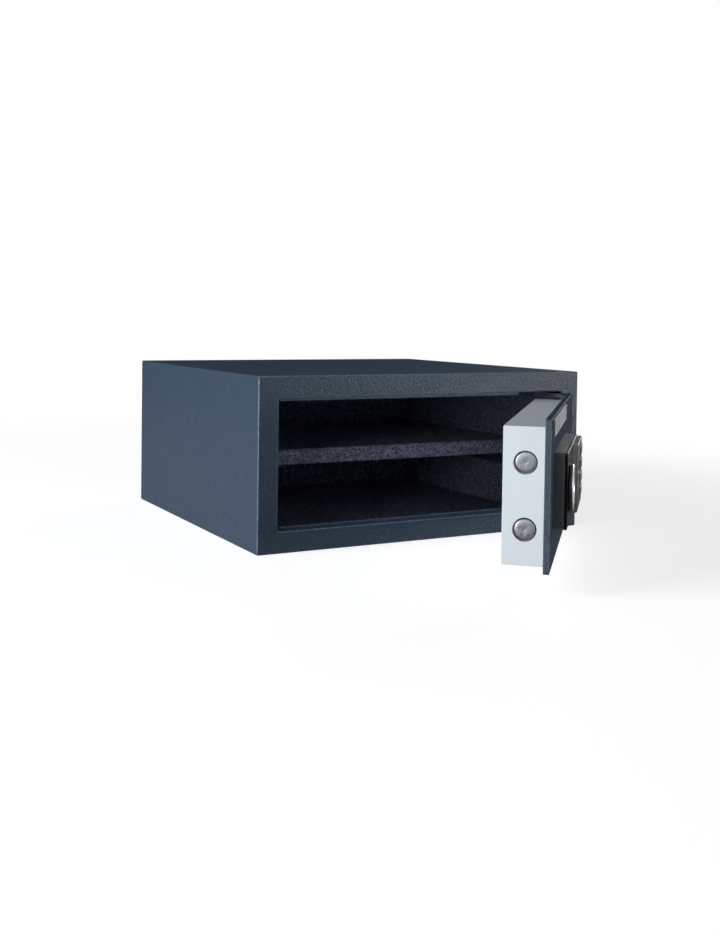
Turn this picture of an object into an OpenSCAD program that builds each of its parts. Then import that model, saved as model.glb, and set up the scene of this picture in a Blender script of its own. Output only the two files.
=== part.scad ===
// Laptop safe: steel body, side-hung door on cranked arms, two round bolts, keypad lock.
// X runs to the right, Y into the depth and Z up, from the middle of the underside.
// Door pieces are drawn in the closed door and swung open together about the hinge.

/* [Body] */
// Overall width of the body
body_w = 450; // [420:1:560]
// Overall depth of the body
body_d = 415; // [330:1:560]
// Overall height of the body
body_h = 200; // [194:1:280]
// Thickness of the wrapped sheet and the back
wall_t = 3.5; // [2:0.1:3.6]
// Radius of the long outer edges
corner_r = 2; // [0.5:0.1:3]

/* [Front frame] */
// Thickness of the front sheet
front_t = 3.5; // [2.5:0.1:5]
// Width of the frame beside the opening
margin_side = 25; // [24:0.5:30]
// Height of the frame above and below the opening
margin_z = 25; // [20:0.5:27]
// Corner radius of the opening
open_r = 4; // [2:0.5:6]
// Depth of the flange above and below the opening
return_depth = 32; // [20:1:38]
// Depth of the flange that the bolts pass through
strike_depth = 38; // [37:1:39.5]
// Depth of the flange beside the hinge
hinge_return = 10; // [6:0.5:14]
// Height of the door stops
stop_h = 4; // [2.5:0.5:5]
// Thickness of the door stops along the depth
stop_t = 6; // [3:0.5:12]
// Room left beside the hinge arms by the door stops
stop_end_gap = 65; // [58:1:120]

/* [Hinge] */
// Angle that the door stands open
door_open = 47.3; // [0:0.1:90]
// Distance of the hinge axis outside the opening
hinge_out = 13; // [12.5:0.1:13.5]
// Diameter of the hinge pins
pin_d = 6; // [5:0.1:6.2]
// Steel left round each pin in its arm
eye_wall = 2.5; // [2:0.1:2.6]
// Gap between the arm's eye and the front sheet
hinge_run = 1; // [0.6:0.1:1.2]
// Thickness of the hinge arms
arm_t = 5; // [3:0.5:5]
// Width of the arm round its bend
arm_w = 7; // [5:0.5:8]
// Length of the arm's foot on the door
arm_foot = 37; // [24:1:44]
// Height of the arms inside the plate's edge
arm_inset = 1.5; // [1:0.1:2]
// Thickness of the lugs that carry the pins
lug_t = 6; // [4:0.5:8]
// Depth of the lugs behind the hinge axis
lug_back = 10; // [8:0.5:16]
// Wall of the hinge bushes
bush_wall = 1.45; // [1:0.05:2]

/* [Door] */
// Thickness of the door plate
plate_t = 6; // [5:0.5:8]
// Gap beside the free edge
gap_free = 1.5; // [1.2:0.1:2.5]
// Gap beside the hinge
gap_hinge = 4; // [4:0.1:5]
// Gap above and below the door
gap_z = 1.5; // [1:0.1:2.5]
// Corner radius of the door plate
plate_r = 3; // [1:0.5:5]
// Depth of the cover behind the plate
box_depth = 39; // [38:0.5:44]
// Sheet thickness of the cover
box_t = 1.5; // [1:0.1:2]
// Step from the plate's free edge to the cover
box_inset = 0.7; // [0.5:0.1:3]
// Step from the plate's upper and lower edge to the cover
box_rim = 7.5; // [7:0.5:9]
// Distance from the plate's hinge edge to the cover
box_end = 30; // [26:1:44]

/* [Bolts] */
// Diameter of the bolts
bolt_d = 20; // [16:0.5:20]
// Distance between the bolts' axes
bolt_pitch = 63.5; // [61:0.5:68]
// Distance of the bolts' axes behind the plate
bolt_set = 17.5; // [17:0.5:18]
// Length of each bolt in front of the carriage
bolt_len = 56.8; // [56:0.1:58]
// Travel of the bolts
bolt_throw = 18; // [12:0.5:18]
// Ring gap round each bolt in the cover
bolt_gap = 1.3; // [0.6:0.1:1.6]
// Width of the bevel on the bolts' tips
bolt_bevel = 1; // [0.5:0.1:2]
// Sheet thickness of the carriage
carriage_t = 3; // [2:0.5:3.5]
// Distance between the plate and the carriage
carriage_gap = 6; // [5:0.5:6]
// Diameter of the posts that guide the carriage
guide_d = 8; // [6:0.5:8]

/* [Knob] */
// Diameter of the knob
knob_d = 47.2; // [40:0.2:50]
// Height of the knob in front of the fascia
knob_t = 4.2; // [3.5:0.1:6]
// Distance of the knob's axis from the end of the lock
knob_inset = 32; // [31:0.5:33]
// Turn of the knob that throws the bolts
knob_turn = 90; // [80:1:95]
// Diameter of the knob's shaft
spindle_d = 10; // [8:0.5:10]
// Diameter of the driving pin on the cam
cam_pin_d = 5; // [4:0.5:6]

/* [Lock] */
// Length of the lock on the door's front
module_w = 197; // [195:1:215]
// Height of the lock
module_h = 75; // [72:1:84]
// Distance of the lock from the plate's free edge
module_inset = 38.5; // [37:0.5:39]
// Depth of the lock's housing
housing_depth = 10.8; // [10.2:0.2:14]
// Wall of the housing
housing_wall = 2.5; // [2:0.1:3]
// Thickness of the fascia
fascia_t = 2.7; // [2:0.1:4]
// Corner radius of the lock
module_r = 4; // [2:0.5:6]
// Height of the raised keypad bezel
pod_t = 5.5; // [5:0.5:8]
// Distance of the bezel from the knob end
pod_inset = 89; // [87:1:90]
// Diameter of the keyhole barrel
barrel_d = 16; // [14:0.5:16]
// Distance of the keyhole from the knob's axis
keyhole_out = 40; // [39:0.5:41]

/* [Keypad] */
// Width of a key
key_w = 12; // [10:0.5:12.5]
// Height of a key
key_h = 11; // [9:0.5:12]
// Distance between key columns
key_pitch_x = 14.5; // [14.5:0.5:15]
// Distance between key rows
key_pitch_z = 15; // [14:0.5:15.5]
// Travel of a key
key_travel = 0.8; // [0.5:0.1:0.9]
// Gap between the display window and the keys
window_gap = 6.5; // [4:0.5:14]
// Height of the display window
window_h = 18; // [12:1:22]

/* [Blank plate] */
// Length of the blank plate above the lock
badge_w = 205; // [60:1:240]
// Height of the blank plate
badge_h = 16.5; // [10:0.5:16.5]
// Thickness of the blank plate
badge_t = 1.8; // [0.8:0.1:2.5]
// Distance of the blank plate from the free edge
badge_inset = 22.5; // [8:0.5:60]

/* [Door inside] */
// Distance of the solenoid from the knob's axis
solenoid_out = 71; // [70:0.5:90]
// Diameter of the solenoid's plunger
plunger_d = 8; // [6:0.5:8]
// Lift of the plunger off the carriage
plunger_lift = 3; // [1:0.5:3]
// Diameter of a battery cell
cell_d = 14.5; // [10.5:0.1:14.5]
// Length of a battery cell
cell_l = 50.5; // [44.5:0.1:50.5]
// Distance of the battery tray's middle from the cover's end
battery_in = 80; // [80:1:100]
// Distance of the reset button from the cover's end
reset_in = 14; // [12:0.5:15]
// Diameter of the reset button
reset_d = 6; // [4:0.5:7]
// Travel of the reset button
reset_travel = 1.2; // [0.6:0.1:1.4]

/* [Inside] */
// Thickness of the felt
felt_t = 2.5; // [2:0.1:4]
// Thickness of the wrapped shelf
shelf_t = 20; // [14:0.5:26]
// Height of the shelf's underside
shelf_z = 82.5; // [60:0.5:110]
// Distance of the shelf behind the front face
shelf_set = 110; // [60:1:200]
// Width of the shelf ledges
ledge_w = 20; // [16:0.5:30]
// Sheet thickness of the shelf ledges
ledge_t = 2; // [1.5:0.1:2.5]

/* [Anchor holes] */
// Diameter of the anchor holes
anchor_d = 12; // [8:0.5:16]
// Spacing of the anchor holes along the width
anchor_x = 300; // [200:1:340]
// Spacing of the floor anchor holes along the depth
anchor_y = 220; // [120:1:230]
// Height of the back anchor holes
anchor_z = 50; // [30:1:60]

/* [Hidden] */
$fn = 48;

// Gaps between pieces
run_gap = 0.05;
slide_gap = 0.3;
knob_gap = 0.4;
key_gap = 0.25;
cut = 1;

// Body and opening
half_w = body_w / 2;
front_y = -body_d / 2;
mid_z = body_h / 2;
in_x = half_w - wall_t;
open_x0 = -half_w + margin_side;
open_x1 = half_w - margin_side;
open_z0 = margin_z;
open_z1 = body_h - margin_z;

// Hinge, measured from its axis
eye_r = pin_d / 2 + eye_wall;
hinge_x = open_x1 + hinge_out;
hinge_d = front_t + hinge_run + eye_r;
sweep_gap = 0.8;
hook_r = sqrt(hinge_out * hinge_out + hinge_d * hinge_d) + sweep_gap;
foot_y = plate_t - hinge_d;
lug_gap = 1;
lug_side = 3;
lug_x0 = open_x1 + lug_side;
bush_r = pin_d / 2 + run_gap + bush_wall;
bush_rim = 1.5;
pin_proud = 1;

// Door plate and cover
plate_x0 = open_x0 + gap_free;
plate_x1 = open_x1 - gap_hinge;
plate_z0 = open_z0 + gap_z;
plate_z1 = open_z1 - gap_z;
box_x0 = plate_x0 + box_inset;
box_x1 = plate_x1 - box_end;
box_z0 = plate_z0 + box_rim;
box_z1 = plate_z1 - box_rim;
box_d1 = plate_t + box_depth;
module_x0 = plate_x0 + module_inset;
module_x1 = module_x0 + module_w;
module_z0 = mid_z - module_h / 2;
module_z1 = mid_z + module_h / 2;
arm_low = plate_z0 + arm_inset;
arm_high = plate_z1 - arm_inset - arm_t;
notch_gap = 3;

// Bolts, carriage and guide
bolt_r = bolt_d / 2;
bolt_dep = plate_t + bolt_set;
bolt_zs = [mid_z - bolt_pitch / 2, mid_z + bolt_pitch / 2];
strike_gap = 1;
bolt_neck_r = 5;
bolt_head_r = 7;
bolt_head_t = 2;
ear_x = box_x0 + bolt_len;
ear_half = 12;
guide_gap = 4;
guide_t = 4;
guide_foot_w = 18;
guide_foot_t = 3;
guide_rim = 4;
web_d0 = plate_t + carriage_gap;
web_d1 = web_d0 + carriage_t;
ear_proud = 1;
post_off = 3;
post_x = module_x0 + knob_inset + post_off;
post_z = 32;
post_head_r = 6.5;
post_head_t = 2;

// Knob, cam and keyhole
knob_x = module_x0 + knob_inset;
knob_rim = 0.8;
cap_t = 2.7;
cap_lip = 0.4;
scoop_r = 18;
grip_half = 5;
scoop_depth = 1.9;
spindle_r = spindle_d / 2;
spindle_end_r = 3;
spindle_proud = 2;
crank_r = bolt_throw / (2 * sin(knob_turn / 2));
crank_up = crank_r * cos(knob_turn / 2);
cam_gap = 1.2;
cam_t = 3.8;
cam_rim = 4.5;
crank_play = 0.5;
web_end = 9;
web_x1 = knob_x + bolt_throw + spindle_end_r + web_end;
keyhole_x = knob_x + keyhole_out;
barrel_r = barrel_d / 2;
barrel_back = 5.5;
core_r = 5;
core_cam_l = 11;
core_cam_t = 2;
core_cam_w = 8;
core_cam_gap = 0.5;
key_slot_w = 1.4;
key_slot_h = 7;
key_slot_depth = 9;
barrel_sink = 0.2;
cap_seat = 0.1;
cap_r = 9;
cap_disc_t = 1.2;
cap_plug_r = 6;
cap_plug_l = 2;

// Lock housing, fascia and bezel
housing_back = 2;
fascia_d = -housing_depth - fascia_t;
core_d0 = fascia_d + barrel_sink + cap_plug_l + slide_gap;
boss_r = 4;
boss_cap = 1;
boss_in = 8;
boss_end = 10;
pod_x0 = module_x0 + pod_inset;
pod_rim = 2;
pod_x1 = module_x1 - pod_rim;
pod_z0 = module_z0 + pod_rim;
pod_z1 = module_z1 - pod_rim;
pod_d = fascia_d - pod_t;
pod_ramp = 7;
pod_bevel = 1.5;
pod_wall = 2;
key_proud = 0.9;
key_r = 1.2;
key_lip = 0.7;
key_lip_t = 1;
key_end = 4;
key_columns = 3;
key_rows = 4;
board_t = 1.6;
board_d1 = -housing_depth + board_t / 2;
board_d0 = board_d1 - board_t;
board_gap = 4;
board_rim = 0.5;
board_in = 2;
board_x0 = pod_x0 + pod_ramp + board_in;
board_x1 = pod_x1 - pod_rim - board_in;
board_z0 = pod_z0 + board_gap + board_rim;
board_z1 = pod_z1 - board_gap - board_rim;
standoff_r = 3;
standoff_in = 6;
chip_w = 12;
chip_t = 2;
chip_in = 8;
chip_pitch = 18;
cable_r = 5;
cable_in = 40;
cable_x0 = pod_x1 - cable_in;
cable_w = 10;
switch_w = 6;
key_stop = 0.1;
window_in = 6;
window_up = 14;
window_x = pod_x0 + pod_ramp + window_in;
window_x1 = key_x(0) - key_w / 2 - key_lip - window_gap;
window_w = window_x1 - window_x;
window_z0 = mid_z + window_up - window_h / 2;
window_z1 = mid_z + window_up + window_h / 2;
window_t = 1.5;
window_ledge = 1.2;
light_r = 2;
light_low = 10;
light_z = mid_z - light_low;
lights = 3;
light_pitch = window_w / lights;
light_x = window_x + light_pitch / 2;
light_proud = 0.3;

// Fasteners
screw_r = 2;
screw_hole = 0.05;
screw_head_r = 4;
screw_head_t = 2.3;
screw_bite = 8;
post_r = 4;
post_in = 10;
post_knob_x = 8;
post_hinge_x = 16;

// Solenoid and tail of the carriage
tail_low = 13;
tail_h = 10;
tail_z1 = mid_z + tail_low + tail_h;
notch_depth = 3;
notch_side = 0.7;
tail_end = 8;
solenoid_x = knob_x + solenoid_out;
solenoid_w = 26;
solenoid_h = 22;
solenoid_gap = 8;
solenoid_z = tail_z1 + solenoid_gap;
plunger_r = plunger_d / 2;
plunger_l = 20;
plunger_room = 1;
plunger_deep = plunger_l + slide_gap - solenoid_gap + plunger_lift + plunger_room;
plunger_dep = web_d0 + carriage_t / 2;
collar_rim = 1.5;
collar_r = plunger_r + collar_rim;
collar_z = 2.2;
collar_t = 1;
spring_wall = 0.8;

// Batteries and reset button
tray_wall = 1.2;
tray_play = 1;
battery_x = box_x1 - battery_in;
tray_w = 2 * cell_l + 3 * tray_play;
tray_h = 2 * cell_d + 3 * tray_play / 2;
tray_d0 = box_d1 - box_t - cell_d - tray_play - tray_wall;
cover_lap = 4;
cover_t = 1.6;
cover_rim_end = 0.5;
cover_rim_l = box_t + cover_rim_end;
cover_seat = 0.1;
reset_x = box_x1 - reset_in;
switch_body = 12;
switch_deep = 10;
reset_proud = 1.5;
reset_r = reset_d / 2;
reset_end = 0.2;

// Blank plate
badge_rim = 2.5;
badge_r = 1;

// Felt, shelf and ledges
lining_set = 40;
shelf_side = 0.5;
shelf_x = in_x - felt_t - shelf_side;
shelf_back = body_d - wall_t - felt_t - shelf_side;
ledge_h = 20;
ledge_inset = 10;
ledge_gap = 0.3;
shelf_screw_in = 12;
shelf_screw_end = 30;
felt_hole = 4;

KEYS = ["1", "2", "3", "4", "5", "6", "7", "8", "9", "a", "0", "b"];

// A box between two places along the width, the depth and the height
module block(x0, x1, d0, d1, z0, z1) {
    translate([x0, front_y + d0, z0]) cube([x1 - x0, d1 - d0, z1 - z0]);
}

// A flat rectangle with round corners
module rounded_rect(x0, x1, z0, z1, r) {
    translate([x0 + r, z0]) square([x1 - x0 - 2 * r, z1 - z0]);
    translate([x0, z0 + r]) square([x1 - x0, z1 - z0 - 2 * r]);
    for (x = [x0 + r, x1 - r], z = [z0 + r, z1 - r]) translate([x, z]) circle(r = r);
}

// A panel with round corners that faces the front
module panel(x0, x1, z0, z1, d0, d1, r) {
    translate([0, front_y + d1, 0]) rotate([90, 0, 0]) linear_extrude(d1 - d0)
        rounded_rect(x0, x1, z0, z1, r);
}

// Round bars along the depth, the height and the width
module bar_y(x, z, d0, d1, r) {
    translate([x, front_y + d0, z]) rotate([-90, 0, 0]) cylinder(h = d1 - d0, r = r);
}
module bar_z(x, d, z0, z1, r) {
    translate([x, front_y + d, z0]) cylinder(h = z1 - z0, r = r);
}
module bar_x(d, z, x0, x1, r) {
    translate([x0, front_y + d, z]) rotate([0, 90, 0]) cylinder(h = x1 - x0, r = r);
}

// A slot along the width with round ends, cut through along the depth
module slot_x(x0, x1, z, r, d0, d1) {
    bar_y(x0, z, d0, d1, r);
    bar_y(x1, z, d0, d1, r);
    block(x0, x1, d0, d1, z - r, z + r);
}

// Swings what belongs to the door open about the hinge
module on_door() {
    translate([hinge_x, front_y + hinge_d, 0]) rotate([0, 0, door_open])
        translate([-hinge_x, -front_y - hinge_d, 0]) children();
}

module shell_wrap() {
    color([0.13, 0.17, 0.22]) difference() {
        panel(-half_w, half_w, 0, body_h, front_t, body_d - wall_t, corner_r);
        block(-in_x, in_x, front_t - cut, body_d, wall_t, body_h - wall_t);
        for (x = [-1, 1], y = [-1, 1])
            translate([x * anchor_x / 2, y * anchor_y / 2, -cut])
                cylinder(h = wall_t + 2 * cut, r = anchor_d / 2);
    }
}

module back_panel() {
    color([0.13, 0.17, 0.22]) difference() {
        panel(-half_w, half_w, 0, body_h, body_d - wall_t, body_d, corner_r);
        for (x = [-1, 1])
            bar_y(x * anchor_x / 2, anchor_z, body_d - wall_t - cut, body_d + cut, anchor_d / 2);
    }
}

// Front sheet with its edges bent inwards round the opening
module front_frame() {
    color([0.12, 0.16, 0.2]) difference() {
        union() {
            panel(-half_w, half_w, 0, body_h, 0, front_t, corner_r);
            panel(open_x0 - front_t, open_x1 + front_t, open_z0 - front_t, open_z1 + front_t,
                front_t / 2, strike_depth, open_r + front_t);
        }
        panel(open_x0, open_x1, open_z0, open_z1, -cut, strike_depth + cut, open_r);
        block(open_x0 + open_r, half_w, return_depth, body_d, 0, body_h);
        block(open_x1 - open_r, half_w, hinge_return, body_d, 0, body_h);
        block(open_x1 - open_r, half_w, front_t, body_d, 0, arm_low + arm_t + notch_gap);
        block(open_x1 - open_r, half_w, front_t, body_d, arm_high - notch_gap, body_h);
        for (z = bolt_zs)
            bar_x(bolt_dep, z, open_x0 - front_t - cut, open_x0 + cut, bolt_r + strike_gap);
    }
}

// Two bars that the shut door rests against
module door_stops() {
    color([0.14, 0.18, 0.22]) for (z = [open_z0, open_z1 - stop_h])
        block(open_x0 + open_r, open_x1 - stop_end_gap, plate_t + slide_gap,
            plate_t + slide_gap + stop_t, z, z + stop_h);
}

module hinge_lugs() {
    color([0.3, 0.32, 0.34]) for (z = [arm_low - lug_gap - lug_t, arm_high + arm_t + lug_gap])
        difference() {
            block(lug_x0, in_x, front_t, hinge_d + lug_back, z, z + lug_t);
            bar_z(hinge_x, hinge_d, z - cut, z + lug_t + cut, bush_r);
        }
}

// A flanged bush in each lug, with its flange towards the arm
module hinge_bushes() {
    flange_t = lug_gap - 2 * run_gap;
    color([0.72, 0.58, 0.32]) for (side = [-1, 1]) {
        arm_face = side < 0 ? arm_low : arm_high + arm_t;
        lug_face = arm_face + side * lug_gap;
        difference() {
            union() {
                bar_z(hinge_x, hinge_d, min(lug_face, lug_face + side * lug_t),
                    max(lug_face, lug_face + side * lug_t), bush_r);
                bar_z(hinge_x, hinge_d, min(lug_face, lug_face - side * flange_t),
                    max(lug_face, lug_face - side * flange_t), bush_r + bush_rim);
            }
            bar_z(hinge_x, hinge_d, lug_face - lug_t - cut - lug_gap,
                lug_face + lug_t + cut + lug_gap, pin_d / 2 + run_gap);
        }
    }
}

module lining_floor() {
    color([0.17, 0.18, 0.23]) difference() {
        block(-in_x, in_x, lining_set, body_d - wall_t, wall_t, wall_t + felt_t);
        for (x = [-1, 1], y = [-1, 1])
            translate([x * anchor_x / 2, y * anchor_y / 2, 0])
                cylinder(h = wall_t + felt_t + cut, r = anchor_d / 2 + felt_hole);
    }
}

// Felt on one side wall, cut out round the shelf ledge
module side_lining(side) {
    x0 = side < 0 ? -in_x : in_x - felt_t;
    color([0.17, 0.18, 0.23]) difference() {
        block(x0, x0 + felt_t, lining_set, body_d - wall_t, wall_t + felt_t,
            body_h - wall_t - felt_t);
        block(x0 - cut, x0 + felt_t + cut, shelf_set + ledge_inset - ledge_gap,
            shelf_back - ledge_inset + ledge_gap, shelf_z - ledge_h - ledge_gap,
            shelf_z + ledge_gap);
    }
}

module lining_left() { side_lining(-1); }
module lining_right() { side_lining(1); }

module lining_back() {
    color([0.17, 0.18, 0.23]) difference() {
        block(-in_x + felt_t, in_x - felt_t, body_d - wall_t - felt_t, body_d - wall_t,
            wall_t + felt_t, body_h - wall_t - felt_t);
        for (x = [-1, 1])
            bar_y(x * anchor_x / 2, anchor_z, body_d - wall_t - felt_t - cut, body_d,
                anchor_d / 2 + felt_hole);
    }
}

module lining_top() {
    color([0.17, 0.18, 0.23])
        block(-in_x, in_x, lining_set, body_d - wall_t, body_h - wall_t - felt_t,
            body_h - wall_t);
}

// The places of the four shelf screws
module at_shelf_screws() {
    for (x = [-1, 1], d = [shelf_set + shelf_screw_end, shelf_back - shelf_screw_end])
        translate([x * (in_x - shelf_screw_in), front_y + d, 0]) children();
}

module shelf_board() {
    color([0.62, 0.5, 0.36]) difference() {
        block(-shelf_x + felt_t, shelf_x - felt_t, shelf_set + felt_t, shelf_back - felt_t,
            shelf_z + felt_t, shelf_z + shelf_t - felt_t);
        at_shelf_screws() translate([0, 0, shelf_z])
            cylinder(h = screw_bite + screw_hole, r = screw_r + screw_hole);
    }
}

// Felt wrapped round the shelf board on all sides
module shelf_felt() {
    color([0.24, 0.25, 0.33]) difference() {
        block(-shelf_x, shelf_x, shelf_set, shelf_back, shelf_z, shelf_z + shelf_t);
        block(-shelf_x + felt_t, shelf_x - felt_t, shelf_set + felt_t, shelf_back - felt_t,
            shelf_z + felt_t, shelf_z + shelf_t - felt_t);
        at_shelf_screws() translate([0, 0, shelf_z - cut])
            cylinder(h = felt_t + 2 * cut, r = screw_r + screw_hole);
    }
}

// An angle on each side wall that carries the shelf
module shelf_ledges() {
    color([0.15, 0.18, 0.22]) difference() {
        for (side = [-1, 1]) {
            wall_x = side < 0 ? -in_x : in_x - ledge_t;
            foot_x = side < 0 ? -in_x : in_x - ledge_w;
            block(wall_x, wall_x + ledge_t, shelf_set + ledge_inset, shelf_back - ledge_inset,
                shelf_z - ledge_h, shelf_z);
            block(foot_x, foot_x + ledge_w, shelf_set + ledge_inset, shelf_back - ledge_inset,
                shelf_z - ledge_t, shelf_z);
        }
        at_shelf_screws() translate([0, 0, shelf_z - ledge_t - cut])
            cylinder(h = ledge_t + 2 * cut, r = screw_r + screw_hole);
    }
}

module shelf_screws() {
    color([0.6, 0.61, 0.62]) at_shelf_screws() {
        translate([0, 0, shelf_z - ledge_t - screw_head_t])
            cylinder(h = screw_head_t, r = screw_head_r);
        translate([0, 0, shelf_z - ledge_t]) cylinder(h = ledge_t + screw_bite, r = screw_r);
    }
}

// The places of the four screws that hold the lock to the plate
module at_module_screws(d0, d1, r) {
    for (x = [module_x0 + boss_end, module_x1 - boss_end],
         z = [module_z0 + boss_in, module_z1 - boss_in])
        bar_y(x, z, d0, d1, r);
}

module door_plate() {
    color([0.13, 0.16, 0.2]) on_door() difference() {
        panel(plate_x0, plate_x1, plate_z0, plate_z1, 0, plate_t, plate_r);
        bar_y(knob_x, mid_z, -cut, plate_t + cut, spindle_r + run_gap);
        bar_y(keyhole_x, mid_z, -cut, plate_t + cut, barrel_r + screw_hole);
        slot_x(cable_x0, cable_x0 + cable_w, mid_z, cable_r, -cut, plate_t + cut);
        at_module_screws(-cut, plate_t + cut, screw_r + screw_hole);
    }
}

// Outline of a cranked arm, seen from above, with the hinge axis at its origin
module arm_outline() {
    difference() {
        union() {
            circle(r = eye_r);
            intersection() {
                translate([-eye_r, 0]) square([2 * eye_r, hook_r + arm_w]);
                circle(r = hook_r + arm_w);
            }
            intersection() {
                difference() {
                    circle(r = hook_r + arm_w);
                    circle(r = hook_r);
                }
                translate([-hook_r - arm_w, 0]) square([hook_r + arm_w, hook_r + arm_w]);
            }
            translate([-hook_r - arm_w, foot_y]) square([arm_w, -foot_y]);
            translate([-hook_r - arm_foot, foot_y]) square([arm_foot, arm_w]);
        }
        circle(r = pin_d / 2);
    }
}

module hinge_arms() {
    color([0.2, 0.22, 0.25]) on_door() for (z = [arm_low, arm_high])
        translate([hinge_x, front_y + hinge_d, z]) linear_extrude(arm_t) arm_outline();
}

module hinge_pins() {
    color([0.75, 0.76, 0.77]) on_door() {
        bar_z(hinge_x, hinge_d, arm_low - lug_gap - lug_t - pin_proud, arm_low + arm_t, pin_d / 2);
        bar_z(hinge_x, hinge_d, arm_high, arm_high + arm_t + lug_gap + lug_t + pin_proud,
            pin_d / 2);
    }
}

// The places of the posts that the cover is screwed to
module at_box_posts(d0, d1, r) {
    for (x = [knob_x + post_knob_x, box_x1 - post_hinge_x],
         z = [box_z0 + post_in, box_z1 - post_in])
        bar_y(x, z, d0, d1, r);
}

// Folded cover behind the plate, open towards it
module door_box() {
    color([0.82, 0.86, 0.88]) on_door() difference() {
        block(box_x0, box_x1, plate_t, box_d1, box_z0, box_z1);
        block(box_x0 + box_t, box_x1 - box_t, plate_t - cut, box_d1 - box_t,
            box_z0 + box_t, box_z1 - box_t);
        for (z = bolt_zs) bar_x(bolt_dep, z, box_x0 - cut, box_x0 + box_t + cut, bolt_r + bolt_gap);
        block(battery_x - tray_w / 2, battery_x + tray_w / 2, box_d1 - box_t - cut, box_d1 + cut,
            mid_z - tray_h / 2, mid_z + tray_h / 2);
        bar_y(reset_x, mid_z, box_d1 - box_t - cut, box_d1 + cut, reset_r + slide_gap);
        at_box_posts(box_d1 - box_t - cut, box_d1 + cut, screw_r + screw_hole);
    }
}

module box_posts() {
    color([0.7, 0.71, 0.72]) on_door() difference() {
        at_box_posts(plate_t, box_d1 - box_t, post_r);
        at_box_posts(box_d1 - box_t - screw_bite, box_d1, screw_r + screw_hole);
    }
}

module box_screws() {
    color([0.66, 0.67, 0.68]) on_door() {
        at_box_posts(box_d1, box_d1 + screw_head_t, screw_head_r);
        at_box_posts(box_d1 - box_t - screw_bite, box_d1, screw_r);
    }
}

// Bracket on the plate that the bolts run through
module bolt_guide() {
    x0 = box_x0 + box_t + guide_gap;
    z0 = bolt_zs[0] - bolt_r - guide_rim;
    z1 = bolt_zs[1] + bolt_r + guide_rim;
    color([0.45, 0.46, 0.48]) on_door() difference() {
        union() {
            block(x0, x0 + guide_t, plate_t, bolt_dep + bolt_r + guide_rim, z0, z1);
            block(x0, x0 + guide_t + guide_foot_w, plate_t, plate_t + guide_foot_t, z0, z1);
        }
        for (z = bolt_zs) bar_x(bolt_dep, z, x0 - cut, x0 + guide_t + cut, bolt_r + run_gap);
    }
}

// Headed posts that carry the carriage on its slots
module guide_posts() {
    color([0.7, 0.71, 0.72]) on_door() for (z = [mid_z - post_z, mid_z + post_z]) {
        bar_y(post_x, z, plate_t, web_d1 + slide_gap, guide_d / 2);
        bar_y(post_x, z, web_d1 + slide_gap, web_d1 + slide_gap + post_head_t, post_head_r);
    }
}

module solenoid() {
    color([0.5, 0.42, 0.2]) on_door() difference() {
        block(solenoid_x - solenoid_w / 2, solenoid_x + solenoid_w / 2, plate_t,
            2 * plunger_dep - plate_t, solenoid_z, solenoid_z + solenoid_h);
        bar_z(solenoid_x, plunger_dep, solenoid_z - cut, solenoid_z + plunger_deep,
            plunger_r + run_gap);
    }
}

module solenoid_plunger() {
    z0 = tail_z1 + slide_gap;
    color([0.72, 0.73, 0.74]) on_door() {
        bar_z(solenoid_x, plunger_dep, z0, z0 + plunger_l, plunger_r);
        bar_z(solenoid_x, plunger_dep, z0 + collar_z, z0 + collar_z + collar_t, collar_r);
    }
}

module plunger_spring() {
    z0 = tail_z1 + slide_gap + collar_z + collar_t;
    color([0.8, 0.81, 0.82]) on_door() difference() {
        bar_z(solenoid_x, plunger_dep, z0, solenoid_z, plunger_r + slide_gap + spring_wall);
        bar_z(solenoid_x, plunger_dep, z0 - cut, solenoid_z + cut, plunger_r + slide_gap);
    }
}

module live_bolts() {
    color([0.66, 0.66, 0.68]) on_door() for (z = bolt_zs) {
        bar_x(bolt_dep, z, box_x0 + bolt_bevel, ear_x, bolt_r);
        translate([box_x0, front_y + bolt_dep, z]) rotate([0, 90, 0])
            cylinder(h = bolt_bevel, r1 = bolt_r - bolt_bevel, r2 = bolt_r);
        bar_x(bolt_dep, z, ear_x, ear_x + carriage_t, bolt_neck_r);
        bar_x(bolt_dep, z, ear_x + carriage_t, ear_x + carriage_t + bolt_head_t, bolt_head_r);
    }
}

// Pressed sheet that joins both bolts and is driven by the cam
module bolt_carriage() {
    z0 = bolt_zs[0] - ear_half;
    z1 = bolt_zs[1] + ear_half;
    crank_x = knob_x + bolt_throw / 2;
    pin_gap_r = cam_pin_d / 2 + crank_play;
    notch_x = solenoid_x + bolt_throw;
    color([0.55, 0.56, 0.58]) on_door() difference() {
        union() {
            block(ear_x, web_x1, web_d0, web_d1, z0, z1);
            block(web_x1 - cut, notch_x + plunger_r + tail_end, web_d0, web_d1,
                mid_z + tail_low, tail_z1);
            for (z = bolt_zs)
                block(ear_x, ear_x + carriage_t, web_d0, bolt_dep + bolt_r + ear_proud,
                    z - ear_half, z + ear_half);
        }
        for (z = bolt_zs)
            bar_x(bolt_dep, z, ear_x - cut, ear_x + carriage_t + cut, bolt_neck_r);
        slot_x(knob_x, knob_x + bolt_throw, mid_z, spindle_end_r + crank_play, web_d0 - cut,
            web_d1 + cut);
        block(crank_x - pin_gap_r, crank_x + pin_gap_r, web_d0 - cut, web_d1 + cut,
            mid_z + crank_up - pin_gap_r, mid_z + crank_r + pin_gap_r);
        for (z = [mid_z - post_z, mid_z + post_z])
            slot_x(post_x, post_x + bolt_throw, z, guide_d / 2 + 2 * run_gap, web_d0 - cut,
                web_d1 + cut);
        block(notch_x - plunger_r - notch_side, notch_x + plunger_r + notch_side,
            web_d0 - cut, web_d1 + cut, tail_z1 - notch_depth, tail_z1 + cut);
    }
}

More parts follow.
